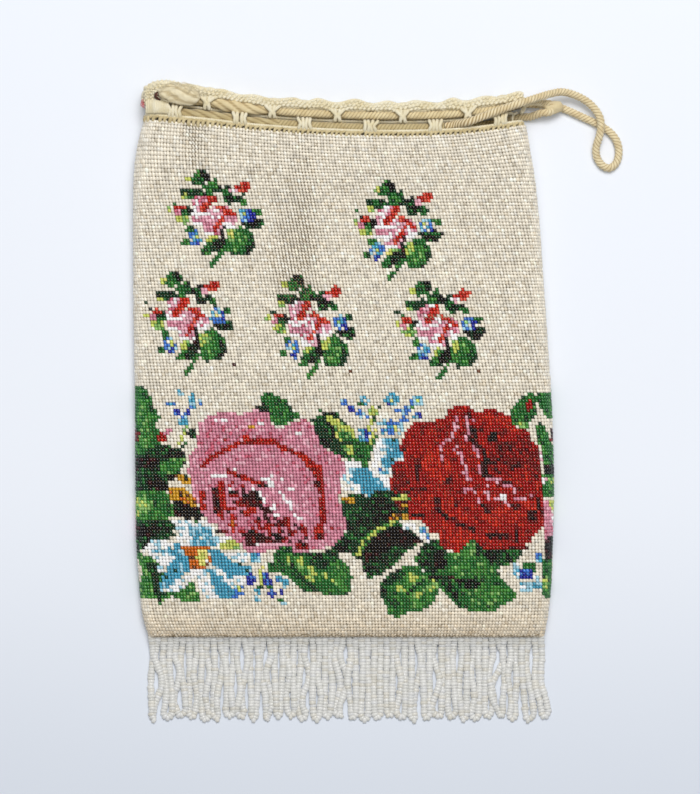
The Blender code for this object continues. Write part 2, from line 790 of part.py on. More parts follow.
def main():
    for each in list(bpy.data.objects):
        bpy.data.objects.remove(each, do_unlink=True)
    origin = bpy.data.objects.new("purse", None)
    bpy.context.collection.objects.link(origin)
    beads = {name: material(name, colour, 0.3) for name, colour in COLOURS.items()}
    casing_yarn = material("casing_yarn", (0.71, 0.61, 0.38), 0.9)
    cord_yarn = material("cord_yarn", (0.62, 0.50, 0.28), 0.85)
    clear_beads = material("clear_beads", (0.80, 0.80, 0.77), 0.15)
    bag = bead_bag(origin, beads)
    casing = crochet_casing(origin, casing_yarn)
    held_cord("drawcord_lower_turn", 0, cord_leaves_lower_row(), origin, cord_yarn)
    held_cord("drawcord_upper_turn", 1, cord_leaves_casing(), origin, cord_yarn)
    free_cords(origin, cord_yarn)
    cord_join(origin, cord_yarn)
    cord_splice(origin, cord_yarn)
    fringe(origin, clear_beads)

    # The world's origin is under the middle of the purse, from the fringe to the casing's edge
    across = [v.co.x for v in bag.data.vertices]
    top = max(v.co.y for v in casing.data.vertices)
    bottom = -(SEAT_GAP + FRINGE_LENGTH + FRINGE_STRAND / 2)
    origin.location = (-(min(across) + max(across)) / 2, -(top + bottom) / 2, 0.0)


main()
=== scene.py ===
# %% [markdown]
# # A beaded drawcord purse
#
# The purse lies on its back on a table, and the camera looks straight down on it. It is a bag knitted
# from small glass beads, with a fringe of bead loops at the hem and a crocheted casing at the mouth, which
# holds a twisted drawcord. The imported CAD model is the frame: it says where each piece is and how big.

# %% Load the frame
import math

import bpy
import numpy as np
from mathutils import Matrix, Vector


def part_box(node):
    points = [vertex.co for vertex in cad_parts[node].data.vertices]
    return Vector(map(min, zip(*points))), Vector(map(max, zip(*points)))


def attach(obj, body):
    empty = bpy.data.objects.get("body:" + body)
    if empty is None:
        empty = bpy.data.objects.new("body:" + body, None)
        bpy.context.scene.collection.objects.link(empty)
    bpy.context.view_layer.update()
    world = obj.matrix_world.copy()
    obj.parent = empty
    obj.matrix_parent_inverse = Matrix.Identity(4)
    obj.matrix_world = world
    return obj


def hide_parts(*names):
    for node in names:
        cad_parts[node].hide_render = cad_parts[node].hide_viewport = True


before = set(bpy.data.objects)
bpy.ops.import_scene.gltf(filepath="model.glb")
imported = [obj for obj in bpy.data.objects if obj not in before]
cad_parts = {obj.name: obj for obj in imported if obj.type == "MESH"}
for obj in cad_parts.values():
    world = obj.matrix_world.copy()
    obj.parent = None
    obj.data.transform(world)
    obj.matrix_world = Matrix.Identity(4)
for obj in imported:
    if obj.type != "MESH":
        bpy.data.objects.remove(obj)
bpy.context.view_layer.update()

MM = 0.001
print("CAD nodes:", len(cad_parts))

# %% [markdown]
# The photo was taken from straight above with a long lens. A camera 1.2 m over the purse, whose picture
# is 317.6 mm high at the purse, gives the same view. One pixel of it is then 0.4 mm.

# %% Camera
CHART_UNIT = 0.4 * MM
CAMERA_HEIGHT = 1.2
CAMERA_X = 2.538 * MM
CAMERA_ABOVE_HEM = 96.4 * MM
PICTURE_HEIGHT = 0.3176
# The middle of the photo, in pixels
CENTRE_COLUMN, CENTRE_ROW = 350, 397
FOCUS_LEVEL = 0.009
SENSOR_MM = 36
camera_data = bpy.data.cameras.new("photo_camera")
camera_data.lens = SENSOR_MM * CAMERA_HEIGHT / PICTURE_HEIGHT
camera_data.sensor_width = SENSOR_MM
camera = bpy.data.objects.new("photo_camera", camera_data)
camera_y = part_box("beaded_body")[0].y + CAMERA_ABOVE_HEM
camera.location = (CAMERA_X, camera_y, FOCUS_LEVEL + CAMERA_HEIGHT)
bpy.context.scene.collection.objects.link(camera)
bpy.context.scene.camera = camera
print("lens:", round(camera_data.lens, 1), "mm")

# %% [markdown]
# ## Where things are on the purse
#
# The bag is a flattened tube. At each height above the hem it has a left edge, a right edge and a
# thickness, and its mouth line rises a little towards both ends. The casing is a ring on the mouth. A place
# in it is a distance along the ring, a depth in from its outside and a rise above the mouth. These are the
# CAD model's own measures, so that what is added here lies on the CAD's surfaces.

# %% Measures of the bag and the casing
PURSE_X = 0.138 * MM
HEM_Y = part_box("beaded_body")[0].y
ORIGIN = np.array([PURSE_X, HEM_Y, 0.0])
BAG_HALF_WIDTH = 84.7 * MM
MOUTH = 201.6 * MM
SEAT_GAP = 0.3 * MM
# The bag's thickness at the hem's fold, what it gains in its first 8 mm and by half its height, and the
# height over which it then opens to the casing
HEM_THICKNESS = 3.2 * MM
HEM_ROUNDING = 8 * MM
HEM_GAIN = 4.8 * MM
MIDDLE_GAIN = 1.6 * MM
OPENS_OVER = 48 * MM
CASING_THICKNESS = 14.0 * MM
CASING_WALL = 4.8 * MM
CASING_INSET = 1.0 * MM
CASING_LEAST_Z = 1.05 * MM
CORD_DIAMETER = 3.1 * MM
# Share of the height, then how far the left and right edges lie inside the widest half width
OUTLINE = np.array([
    (0.00, 6.2, 4.3), (0.05, 3.5, 2.5), (0.11, 2.3, 1.3), (0.20, 1.1, 0.7), (0.31, 0.9, 0.3),
    (0.47, 0.7, 1.3), (0.59, 0.3, 2.9), (0.75, 0.0, 5.1), (0.83, 0.0, 6.3), (0.91, 0.3, 8.1),
    (0.95, 1.5, 9.8), (1.00, 4.5, 11.7),
])
# Share of the half width, then the rise of the mouth line
MOUTH_RISE = np.array([
    (-0.95, 5.6), (-0.68, 3.8), (-0.40, 1.4), (-0.07, -0.4), (0.24, -1.0), (0.50, -0.4), (0.69, 1.2),
    (0.86, 3.6),
])
RISE_FADES_OVER = 26 * MM
# Rises above the mouth where the casing's rows start and end
CASING_RISES = np.array([0.0, 1.9, 5.7, 7.0, 10.8, 13.9]) * MM
POST_PITCH = 13 * MM
POST_WIDTH = 5.2 * MM
FIRST_POST_IN = 5.6 * MM
# Under their own weight the rows lie a little lower in the photo than in the CAD: rises in both
ROW_RISES = np.array([
    (-2, -2), (0, 0), (1.9, 1.4), (3.8, 3.0), (6.35, 5.5), (8.9, 7.75), (10.8, 9.6), (13.9, 12.1), (17, 15),
]) * MM
# At its left end the casing is stretched upwards, from 50.1 mm in and fully 36 mm further out
LEFT_STRETCH = 0.18
STRETCH_STARTS_IN = 50.1 * MM
STRETCH_GROWS_OVER = 36 * MM
# Folds of the front, in millimetres: middle across, height above the hem, half width, half height, depth
FOLDS = [(-60, 200, 4, 14, 0.5), (-16, 158, 5, 34, 0.45), (-24, 150, 4, 26, 0.35), (38, 128.4, 9, 1.2, 0.5)]
print("the mouth is", round(MOUTH / MM, 1), "mm above the hem")

# %% Curves and the bag's surface
def smooth_step(value):
    t = np.clip(value, 0.0, 1.0)
    return t * t * (3 - 2 * t)


def hermite(a, b, slope_a, slope_b, t):
    """A smooth curve from a to b that starts and ends with the given slopes."""
    return (a * (2 * t**3 - 3 * t**2 + 1) + slope_a * (t**3 - 2 * t**2 + t)
            + b * (3 * t**2 - 2 * t**3) + slope_b * (t**3 - t**2))


def on_curve(table, at, column):
    """The value in a column of a table at each place, on a smooth curve through its points."""
    places, values = table[:, 0], table[:, column]
    at = np.clip(at, places[0], places[-1])
    i = np.clip(np.searchsorted(places, at, side="right") - 1, 0, len(places) - 2)
    before, after = np.maximum(i - 1, 0), np.minimum(i + 2, len(places) - 1)
    span = places[i + 1] - places[i]
    slope_a = (values[i + 1] - values[before]) / (places[i + 1] - places[before]) * span
    slope_b = (values[after] - values[i]) / (places[after] - places[i]) * span
    return hermite(values[i], values[i + 1], slope_a, slope_b, (at - places[i]) / span)


def edges(height):
    share = np.asarray(height) / MOUTH
    return (on_curve(OUTLINE, share, 1) * MM - BAG_HALF_WIDTH,
            BAG_HALF_WIDTH - on_curve(OUTLINE, share, 2) * MM)


def mouth_rise(x):
    return on_curve(MOUTH_RISE, np.asarray(x) / BAG_HALF_WIDTH, 1) * MM


def thickness(height):
    height = np.asarray(height)
    round_off = np.sqrt(1 - (1 - np.clip(height / HEM_ROUNDING, 0, 1)) ** 2)
    flat = HEM_THICKNESS + HEM_GAIN * round_off + MIDDLE_GAIN * smooth_step(height / (MOUTH / 2))
    open_out = smooth_step(1 - (MOUTH - height) / OPENS_OVER)
    return flat + (CASING_THICKNESS - flat) * open_out


def relief(x, y):
    """How far the front sinks in the soft folds of the cloth."""
    sunk = np.zeros(np.shape(x))
    for middle_x, middle_y, wide, high, deep in FOLDS:
        sunk += deep * MM * np.exp(-((x / MM - middle_x) / wide) ** 2 - ((y / MM - middle_y) / high) ** 2)
    return sunk


def bag_surface(turn, height, inset):
    """Places and outward directions on the bag. A turn of 0 is the middle of the front, and 0.25 is at
    about the right edge."""
    left, right = edges(height)
    deep = thickness(height)
    radius = deep / 2
    flat = right - left - deep
    arc = np.pi * radius
    along = ((turn % 1.0) * 2 * (flat + arc) + flat / 2) % (2 * (flat + arc))
    angle_right = np.pi / 2 - (along - flat) / radius
    angle_left = -np.pi / 2 - (along - 2 * flat - arc) / radius
    part = (along >= flat).astype(int) + (along >= flat + arc) + (along >= 2 * flat + arc)
    facing_up = np.full_like(along, np.pi / 2)
    angle = np.choose(part, [facing_up, angle_right, -facing_up, angle_left])
    base = np.choose(
        part, [left + radius + along, right - radius, right - radius - (along - flat - arc), left + radius])
    x = base + (radius - inset) * np.cos(angle) * (part % 2)
    z = radius + (radius - inset) * np.sin(angle)
    fade = smooth_step(1 - (MOUTH - height) / RISE_FADES_OVER)
    y = height + fade * mouth_rise(x)
    z = z - relief(x, y) * np.clip(np.sin(angle), 0, 1)
    out = np.stack([np.cos(angle) * (part % 2), np.zeros_like(angle), np.sin(angle)], axis=-1)
    return np.stack([x, y, z], axis=-1) + ORIGIN, out


left_edge, right_edge = edges(MOUTH / 2)
print("halfway up, the bag is", round((right_edge - left_edge) / MM), "mm wide and",
      round(float(thickness(MOUTH / 2)) / MM, 1), "mm thick")

# %% Places in the casing and in the photo
casing_left = float(edges(MOUTH)[0])
casing_right = float(edges(MOUTH)[1]) - CASING_INSET
straight = casing_right - casing_left - CASING_THICKNESS
end_turn = math.pi * (CASING_THICKNESS - CASING_WALL) / 2
ring_length = 2 * (straight + end_turn)


def casing_place(along, depth, rise):
    """A point of the casing, in the row frame."""
    radius = CASING_THICKNESS / 2
    bend = end_turn / math.pi
    left, right = casing_left + radius, casing_right - radius
    along %= ring_length
    reach = radius - depth
    if along <= straight:
        x, z = left + along, radius + reach
    elif along <= straight + end_turn:
        angle = math.pi / 2 - (along - straight) / bend
        x, z = right + reach * math.cos(angle), radius + reach * math.sin(angle)
    elif along <= 2 * straight + end_turn:
        x, z = right - (along - straight - end_turn), radius - reach
    else:
        angle = -math.pi / 2 - (along - 2 * straight - end_turn) / bend
        x, z = left + reach * math.cos(angle), radius + reach * math.sin(angle)
    stretch = 1 + LEFT_STRETCH * smooth_step((casing_left + STRETCH_STARTS_IN - x) / STRETCH_GROWS_OVER)
    y = MOUTH + SEAT_GAP + mouth_rise(x) + np.interp(rise, *ROW_RISES.T) * stretch
    return np.array([x, y, max(z, CASING_LEAST_Z)]) + ORIGIN


def seen_at(column, row, z):
    """The place at a height, in millimetres, that the camera sees at a pixel of the photo."""
    share = (camera.location.z - z * MM) / CAMERA_HEIGHT * CHART_UNIT
    across, down = column - CENTRE_COLUMN, row - CENTRE_ROW
    return np.array([CAMERA_X + across * share, camera_y - down * share, z * MM])


def seen_route(route):
    """The places of a route's pixels, each given as a column, a row and a height."""
    return [seen_at(*point) for point in route]


def along_front(x):
    return x - casing_left - CASING_THICKNESS / 2


post_count = math.floor((straight - FIRST_POST_IN - POST_WIDTH / 2) / POST_PITCH + 0.01) + 1
front_posts = [FIRST_POST_IN + POST_PITCH * k for k in range(post_count)]
print("casing ring:", round(ring_length / MM, 1), "mm, posts on the front:", post_count)

# %% [markdown]
# ## Helpers
#
# Yarn and cord are round threads that follow a path. Blender's bevelled curves can give them, but a cord
# also needs grooves that wind round it, and yarn needs texture coordinates along and around it for its
# twist. So a thread is swept here point by point, and all the threads of a piece go into one mesh.

# %% Helpers for threads and meshes
def to_linear(shown):
    """Linear light from values of 0 to 1 as seen on a screen."""
    return np.where(shown <= 0.04045, shown / 12.92, ((shown + 0.055) / 1.055) ** 2.4)


def srgb(*values):
    """A colour of 0 to 255, as seen on a screen, as linear light with an alpha of 1."""
    return (*to_linear(np.array(values, float) / 255), 1)


def unit(vectors):
    """The rows of an array, each as a vector of length 1."""
    return vectors / np.linalg.norm(vectors, axis=1)[:, None]


def distances(points):
    """How far along a path each of its points is."""
    return np.concatenate([[0], np.cumsum(np.linalg.norm(np.diff(points, axis=0), axis=1))])


def smooth_path(points, spacing):
    """Evenly spaced points on a smooth curve through the given ones."""
    route = np.array(points, float)
    before = np.vstack([route[:1], route[:-2]])
    after = np.vstack([route[2:], route[-1:]])
    t = np.linspace(0, 1, 13)[:-1, None]
    fine = []
    for a, b, c, d in zip(route, route[1:], before, after):
        fine.append(hermite(a, b, (b - c) / 2, (d - a) / 2, t))
    fine = np.vstack([*fine, route[-1:]])
    lengths = distances(fine)
    count = max(2, round(lengths[-1] / spacing))
    places = np.linspace(0, lengths[-1], count + 1)
    return np.stack([np.interp(places, lengths, fine[:, k]) for k in range(3)], axis=1)


def path_length(points):
    return float(np.linalg.norm(np.diff(points, axis=0), axis=1).sum())


class Threads:
    """Swept threads that become one mesh."""

    def __init__(self):
        self.vertices, self.faces, self.uvs, self.grooves = [], [], [], []
        self.count = 0

    def add(self, points, radius, sides=6, lobes=0, lobe_depth=0.0, turn_length=1.0, flatten=1.0):
        points = np.asarray(points, float)
        n = len(points)
        radii = np.broadcast_to(radius, n)
        ahead = unit(np.gradient(points, axis=0))
        side = np.cross(ahead[0], (0, 0, 1.0))
        if np.linalg.norm(side) < 1e-3:
            side = np.cross(ahead[0], (0, 1.0, 0))
        sides_at = [side / np.linalg.norm(side)]
        for k in range(1, n):
            flat_side = sides_at[-1] - ahead[k] * (sides_at[-1] @ ahead[k])
            sides_at.append(flat_side / np.linalg.norm(flat_side))
        side = np.array(sides_at)
        up = np.cross(side, ahead)
        lengths = distances(points)
        angle = 2 * np.pi * np.arange(sides) / sides
        turns = np.concatenate([[0], np.cumsum(np.diff(lengths) / np.broadcast_to(turn_length, n)[1:])])
        groove = 0.5 - 0.5 * np.cos(lobes * (angle[None, :] - 2 * np.pi * turns[:, None]))
        size = radii[:, None] * (1 - lobe_depth * groove)
        self.grooves.append(groove.ravel())
        ring = (points[:, None, :] + size[..., None] * (np.cos(angle)[None, :, None] * side[:, None, :]
                + flatten * np.sin(angle)[None, :, None] * up[:, None, :]))
        self.vertices.append(ring.reshape(-1, 3))
        start = self.count
        self.count += n * sides
        for k in range(n - 1):
            low, high = start + k * sides, start + (k + 1) * sides
            va, vb = lengths[k] / MM, lengths[k + 1] / MM
            around = 2 * np.pi * np.median(radii) / MM / sides
            for j in range(sides):
                after = (j + 1) % sides
                self.faces.append((low + j, low + after, high + after, high + j))
                ua, ub = around * j, around * (j + 1)
                self.uvs += [(ua, va), (ub, va), (ub, vb), (ua, vb)]
        last = start + (n - 1) * sides
        self.faces.append(tuple(range(start + sides - 1, start - 1, -1)))
        self.faces.append(tuple(range(last, last + sides)))
        self.uvs += [(0.0, 0.0)] * (2 * sides)

    def make(self, name):
        mesh = bpy.data.meshes.new(name)
        mesh.from_pydata(np.vstack(self.vertices).tolist(), [], self.faces)
        layer = mesh.uv_layers.new(name="thread")
        layer.data.foreach_set("uv", np.array(self.uvs, np.float32).ravel())
        groove = mesh.attributes.new("groove", "FLOAT", "POINT")
        groove.data.foreach_set("value", np.concatenate(self.grooves).astype(np.float32))
        mesh.shade_smooth()
        return link(name, mesh)


def link(name, mesh):
    made = bpy.data.objects.new(name, mesh)
    bpy.context.scene.collection.objects.link(made)
    return made


def finish_piece(piece, material, slot, *nodes):
    """A finished piece gets its material, rides on the bag and hides the CAD nodes that it takes the place
    of.
    """
    piece.data.materials.clear()
    piece.data.materials.append(material)
    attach(piece, "root")
    if nodes:
        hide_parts(*nodes)
    triangles = sum(len(face.vertices) - 2 for face in piece.data.polygons)
    print(f"{piece.name}: {triangles} triangles")
    return piece


# %% Materials for yarn, cord and thread
def new_material(name):
    """A material with its nodes, links and shader."""
    made = bpy.data.materials.new(name)
    made.use_nodes = True
    nodes, links = made.node_tree.nodes, made.node_tree.links
    return made, nodes, links, nodes["Principled BSDF"]


def set_inputs(node, values):
    for name, value in values.items():
        node.inputs[name].default_value = value


def add_painted_groove_shade(nodes, links, light, shader, colour):
    """The grooves between a cord's plies, in a darker colour that is painted shade."""
    groove = nodes.new("ShaderNodeAttribute")
    groove.attribute_name = "groove"
    share = nodes.new("ShaderNodeMapRange")
    set_inputs(share, {"From Min": 0.55, "From Max": 1.0})
    links.new(groove.outputs["Fac"], share.inputs["Value"])
    mix = nodes.new("ShaderNodeMix")
    mix.data_type = "RGBA"
    set_inputs(mix, {"B": srgb(*colour)})
    links.new(share.outputs["Result"], mix.inputs["Factor"])
    links.new(light.outputs["Color"], mix.inputs["A"])
    links.new(mix.outputs["Result"], shader.inputs["Base Color"])


def yarn_material(name, light, dark, roughness, twist_width, twist_height, mottling, groove=None):
    """Spun yarn: light and dark fibres, fine twisted lines along each thread, and, if a groove colour is
    given, painted shade in the grooves between a cord's plies.
    """
    made, nodes, links, shader = new_material(name)
    set_inputs(shader, {
        "Roughness": roughness, "Sheen Weight": 0.25, "Sheen Roughness": 0.6, "Specular IOR Level": 0.25})
    place = nodes.new("ShaderNodeTexCoord")
    noise = nodes.new("ShaderNodeTexNoise")
    set_inputs(noise, {"Scale": mottling, "Detail": 3})
    links.new(place.outputs["Object"], noise.inputs["Vector"])
    turned = nodes.new("ShaderNodeMapping")
    set_inputs(turned, {"Rotation": (0, 0, math.radians(48))})
    links.new(place.outputs["UV"], turned.inputs["Vector"])
    twist = nodes.new("ShaderNodeTexWave")
    set_inputs(twist, {"Scale": 0.314 / twist_width, "Distortion": 0.6})
    links.new(turned.outputs["Vector"], twist.inputs["Vector"])
    ramp = nodes.new("ShaderNodeValToRGB")
    for end, colour, position in zip(ramp.color_ramp.elements, (dark, light), (0.3, 0.62)):
        end.color = srgb(*colour)
        end.position = position
    links.new(noise.outputs["Fac"], ramp.inputs["Fac"])
    links.new(ramp.outputs["Color"], shader.inputs["Base Color"])
    if groove:
        add_painted_groove_shade(nodes, links, ramp, shader, groove)
    bump = nodes.new("ShaderNodeBump")
    set_inputs(bump, {"Strength": 0.8, "Distance": twist_height})
    links.new(twist.outputs["Fac"], bump.inputs["Height"])
    links.new(bump.outputs["Normal"], shader.inputs["Normal"])
    return made


# Roughness, the width of the twist's lines in millimetres, their height, and the scale of the mottling
CORD_FINISH = (0.85, 0.5, 0.12 * MM, 320)
# The same for thin threads, but without the roughness
FINE_FINISH = (0.3, 0.05 * MM, 900)
casing_yarn = yarn_material("casing_yarn", (249, 240, 212), (237, 223, 182), 0.85, 0.35, 0.12 * MM, 260)
# The base row's yarn is coloured darker than the rest of the casing's: painted shade under the lower turn of
# the cord and in the row's holes
base_yarn_painted_shade = yarn_material("base_yarn_painted_shade", (222, 205, 160), (196, 177, 128), 0.85, 0.35, 0.12 * MM, 300)
# A cord's last colour is painted shade in the grooves between its plies, and the wad's is painted shade in
# its folds
cord_yarn = yarn_material("cord_yarn", (242, 227, 188), (224, 203, 158), *CORD_FINISH, (178, 150, 102))
# The turns held in the casing are coloured darker than the free cord, the lower turn most
held_cord_yarn = yarn_material(
    "held_cord_yarn", (236, 219, 175), (217, 196, 148), *CORD_FINISH, (172, 146, 100))
lower_cord_yarn = yarn_material(
    "lower_cord_yarn", (206, 189, 143), (188, 167, 119), *CORD_FINISH, (146, 121, 78))
loose_yarn = yarn_material("loose_yarn", (232, 216, 174), (212, 190, 144), 0.9, 0.45, 0.16 * MM, 320)
wad_fibre = yarn_material(
    "wad_fibre", (246, 234, 200), (230, 214, 174), 0.95, 0.3, 0.1 * MM, 420, (208, 188, 144))
bead_thread = yarn_material("bead_thread", (176, 156, 124), (128, 110, 82), 0.95, 0.3, 0.1 * MM, 900)
pale_thread = yarn_material("pale_thread", (240, 238, 230), (224, 221, 210), 0.9, *FINE_FINISH)
red_thread = yarn_material("red_thread", (222, 120, 124), (176, 60, 66), 0.8, *FINE_FINISH)
# Dark brown fibres that paint the shade in the hole of the casing's left end
hole_shade_fibre = yarn_material("hole_shade_fibre", (92, 46, 30), (44, 22, 16), 0.95, *FINE_FINISH)
print("materials:", [m.name for m in bpy.data.materials])

# %% [markdown]
# ## The drawcord outside its casing
#
# The cord is one twisted cord that runs round the casing twice. At the right it comes out as a long loop,
# which lies on the table and crosses itself, and its two ends come out short and are sewn to each other. A
# cord laid by a physics run would settle anywhere, and the photo shows just where it lies, so each part
# follows its route. Four soft ridges wind round it, as its plies do.

# %% The free cord
PLY_COUNT = 4
PLY_DEPTH = 0.24
PLY_TURN = 5.8 * MM
CORD_SIDES = 16
# The ridges of the plies stand out a little beyond the cord's diameter, and their grooves lie within it
RIDGE_SWELL = 1.08
FREE_CORD_STEP = 0.42 * MM
LOOP_BESIDE_POST = 1.3 * MM
# Near the casing the free cord's painted groove shade is wider, so that it darkens towards the casing, as the
# turns held in it are darker
DARK_GROOVE_REACH = 22 * MM
DARK_GROOVE_GAIN = 0.3
# Across from the casing's right edge, above the bag's mouth and above the table, in millimetres
LONG_LOOP_ROUTE = [
    (-27.6, 3.6, 12.1), (-22.8, 4.2, 15.4), (-18.0, 5.9, 16.1), (-12.5, 7.9, 16.1), (-7.2, 9.9, 16.1),
    (-2.4, 11.5, 16), (2.4, 13.2, 14.6), (6.8, 14.8, 12.4), (10.4, 16.0, 10.2), (14.8, 17.0, 7.8),
    (18.8, 16.5, 6.2), (23.6, 14.6, 5.2), (27.6, 11.6, 4.9), (30.2, 8.0, 5), (31.2, 4.0, 5),
    (30.6, -0.4, 4.4), (29.4, -4.8, 3), (29.8, -8.8, 1.9), (32.0, -12.0, 1.6), (35.0, -13.0, 1.6),
    (37.6, -10.8, 1.6), (38.6, -6.8, 1.6), (37.8, -2.4, 1.6), (35.2, 1.2, 1.6), (31.2, 4.0, 1.6),
    (28.0, 5.6, 1.6), (23.6, 7.6, 1.6), (18.8, 9.8, 1.6), (14.4, 11.4, 1.6), (9.6, 12.3, 1.6),
    (4.8, 12.6, 1.6), (0.4, 12.6, 1.7), (-2.8, 12.1, 2),
]
# The two short ends and the sewn join between them, as one route from the front to the back
SEWN_ENDS_ROUTE = [
    (-3.0, 12.0, 12), (0.0, 12.5, 12), (2.8, 12.9, 10.4), (5.4, 13.0, 7.4), (7.8, 12.6, 5.4),
    (9.6, 12.6, 5.2), (11.0, 12.1, 5.2), (11.6, 10.75, 5.2), (11.0, 9.4, 5.2), (9.6, 8.9, 5.2),
    (7.8, 8.9, 5.2), (5.8, 8.3, 4.4), (3.2, 7.5, 2.4), (0.0, 7.4, 1.65), (-3.2, 7.0, 1.9),
]


def turn_rise(number):
    return (CASING_RISES[2 * number + 1] + CASING_RISES[2 * number + 2]) / 2


def turn_end(number, x, is_front):
    along = along_front(x) if is_front else 2 * straight + end_turn - along_front(x)
    return casing_place(along, CASING_WALL / 2, turn_rise(number))


def route_points(route):
    return [np.array(p) * MM + ORIGIN + np.array([casing_right, MOUTH, 0]) for p in route]


def plied_cord(name, path, radius=CORD_DIAMETER / 2 * RIDGE_SWELL, turn_length=PLY_TURN):
    threads = Threads()
    threads.add(path, radius, CORD_SIDES, PLY_COUNT, PLY_DEPTH, turn_length)
    return threads.make(name)


cord_leaves = casing_right - CASING_THICKNESS / 2 + SEAT_GAP
loop_leaves = front_posts[-3] + casing_left + CASING_THICKNESS / 2 + POST_WIDTH / 2 + LOOP_BESIDE_POST
loop_ends = [turn_end(0, loop_leaves, True), turn_end(1, cord_leaves, False)]
loop_path = smooth_path([loop_ends[0], *route_points(LONG_LOOP_ROUTE), loop_ends[1]], FREE_CORD_STEP)
long_loop = finish_piece(plied_cord("long_loop", loop_path), cord_yarn, "cord_yarn", "drawcord_loop")
groove = long_loop.data.attributes["groove"]
depths = np.zeros(len(long_loop.data.vertices), np.float32)
groove.data.foreach_get("value", depths)
from_casing = np.repeat(np.linspace(0, path_length(loop_path), len(loop_path)), CORD_SIDES)
depths += (DARK_GROOVE_GAIN * np.exp(-(from_casing / DARK_GROOVE_REACH) ** 2)).astype(np.float32)
groove.data.foreach_set("value", depths)
ends_path = smooth_path(
    [turn_end(1, cord_leaves, True), *route_points(SEWN_ENDS_ROUTE), turn_end(0, cord_leaves, False)],
    FREE_CORD_STEP)
sewn_ends = finish_piece(
    plied_cord("sewn_ends", ends_path), cord_yarn, "cord_yarn", "drawcord_end_front", "drawcord_end_back")
print("long loop:", round(path_length(loop_path) / MM), "mm")
print("sewn ends:", round(path_length(ends_path) / MM), "mm")

# %% [markdown]
# The join of the two ends is a smooth lump of felted fibre, and the wad is frayed cord. Each is a short,
# thick thread whose radius changes along it, with its surface pushed a little in and out. Loose fibres
# lie over the wad.

# %% The sewn join and the frayed wad
# Routes by the photo: pixel column, pixel row and height in millimetres
JOIN_ROUTE = [(544.5, 107.2, 5.2), (550, 107.2, 5.2), (557, 107, 5.2), (563.5, 107.2, 5.2)]
WAD_ROUTE = [
    (158.5, 93.5, 14.8), (164, 92.6, 15.6), (172, 93.4, 15.9), (183, 95, 15.7), (193, 96.6, 15.4),
    (200.5, 98.4, 14.9),
]
# Share of the route, then the radius in millimetres
JOIN_RADII = [(0, 0.6), (0.12, 2.5), (0.5, 2.75), (0.85, 2.0), (1, 0.6)]
WAD_RADII = [(0, 0.5), (0.05, 2.2), (0.2, 3.5), (0.45, 4.1), (0.75, 3.6), (0.93, 2.4), (1, 0.6)]
JOIN_FLATTEN, WAD_FLATTEN = 0.58, 0.52
LUMP_SIDES = 40
LUMP_STEP = 0.8 * MM
LUMP_WAVES = 9
UNEVEN = 0.14 * MM
FIBRE_COUNT = 50
FIBRE_LENGTH = 7 * MM
FIBRE_RADIUS = 0.06 * MM
FIBRE_LIFT = 0.10
FIBRE_GROUND = 14.1 * MM
fibre_random = np.random.default_rng(11)


def add_fibres(threads, count, low, high, length, radius, lift, ground):
    """Loose fibres that lie over an oval lump and stray from it."""
    middle, half = (low + high) / 2, (high - low) / 2
    for _ in range(count):
        angle = fibre_random.uniform(0, 2 * np.pi)
        around = fibre_random.normal(0, 0.9)
        start = fibre_random.uniform(-0.95, 0.6)
        points = []
        for k in range(6):
            across = start + length / half[0] * k / 5
            ring = math.sqrt(max(0.04, 1 - min(abs(across), 1.0) ** 2))
            swing = around + 0.5 * math.sin(angle + k * 0.9)
            out = 1.0 + lift * abs(math.sin(angle * 3 + k * 0.7))
            z = middle[2] + half[2] * ring * out * math.cos(swing)
            y = middle[1] + half[1] * ring * out * math.sin(swing)
            points.append((middle[0] + half[0] * across, y, max(z, ground)))
        threads.add(points, radius, 3)


def soft_mass(name, middles, radii, flatten, seed, lobes=0, lobe_depth=0.0, turn_length=1.0):
    """A thick thread with an uneven, softly folded surface."""
    path = smooth_path(middles, LUMP_STEP)
    share = np.linspace(0, 1, len(path))
    threads = Threads()
    radius = np.interp(share, *np.array(radii).T) * MM
    threads.add(path, radius, LUMP_SIDES, lobes, lobe_depth, turn_length, flatten)
    made = threads.make(name)
    points = np.array([v.co for v in made.data.vertices])
    random = np.random.default_rng(seed)
    shift = np.zeros_like(points)
    for _ in range(LUMP_WAVES):
        wave, way = random.normal(0, 1.0, 3) * (0.55, 1.1, 0.9), random.normal(0, 1, 3)
        height = UNEVEN * np.sin(points @ wave / MM + random.uniform(0, 6))
        shift += height[:, None] * way / np.linalg.norm(way)
    points += shift
    made.data.vertices.foreach_set("co", points.ravel())
    return made


join_lump = finish_piece(
    soft_mass("join_lump", seen_route(JOIN_ROUTE), JOIN_RADII, JOIN_FLATTEN, 5),
    loose_yarn, "cord_yarn", "cord_join")
finish_piece(
    soft_mass("frayed_wad", seen_route(WAD_ROUTE), WAD_RADII, WAD_FLATTEN, 3,
              lobes=5, lobe_depth=0.13, turn_length=-60 * MM),
    wad_fibre, "cord_yarn", "cord_splice")
wad_fibres = Threads()
wad_low, wad_high = (np.array(corner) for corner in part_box("cord_splice"))
add_fibres(wad_fibres, FIBRE_COUNT, wad_low, wad_high, FIBRE_LENGTH, FIBRE_RADIUS, FIBRE_LIFT, FIBRE_GROUND)
finish_piece(wad_fibres.make("wad_fibres"), wad_fibre, "cord_yarn")

# %% [markdown]
# ## The two turns of the cord in the casing
#
# Both turns run along the front, round the left end and back along the back. The upper one is thick and
# loosely spun at the left of the front, beside the wad, so its radius grows there.

# %% The held turns
HELD_CORD_STEP = 0.5 * MM
# In the photo the left part of each turn is spun loosely, and winds the other way
LOOSE_TURN = -24 * MM
# A turn is on the front where it lies above this height
LOWER_FRONT_Z, UPPER_FRONT_Z = 7 * MM, 10 * MM
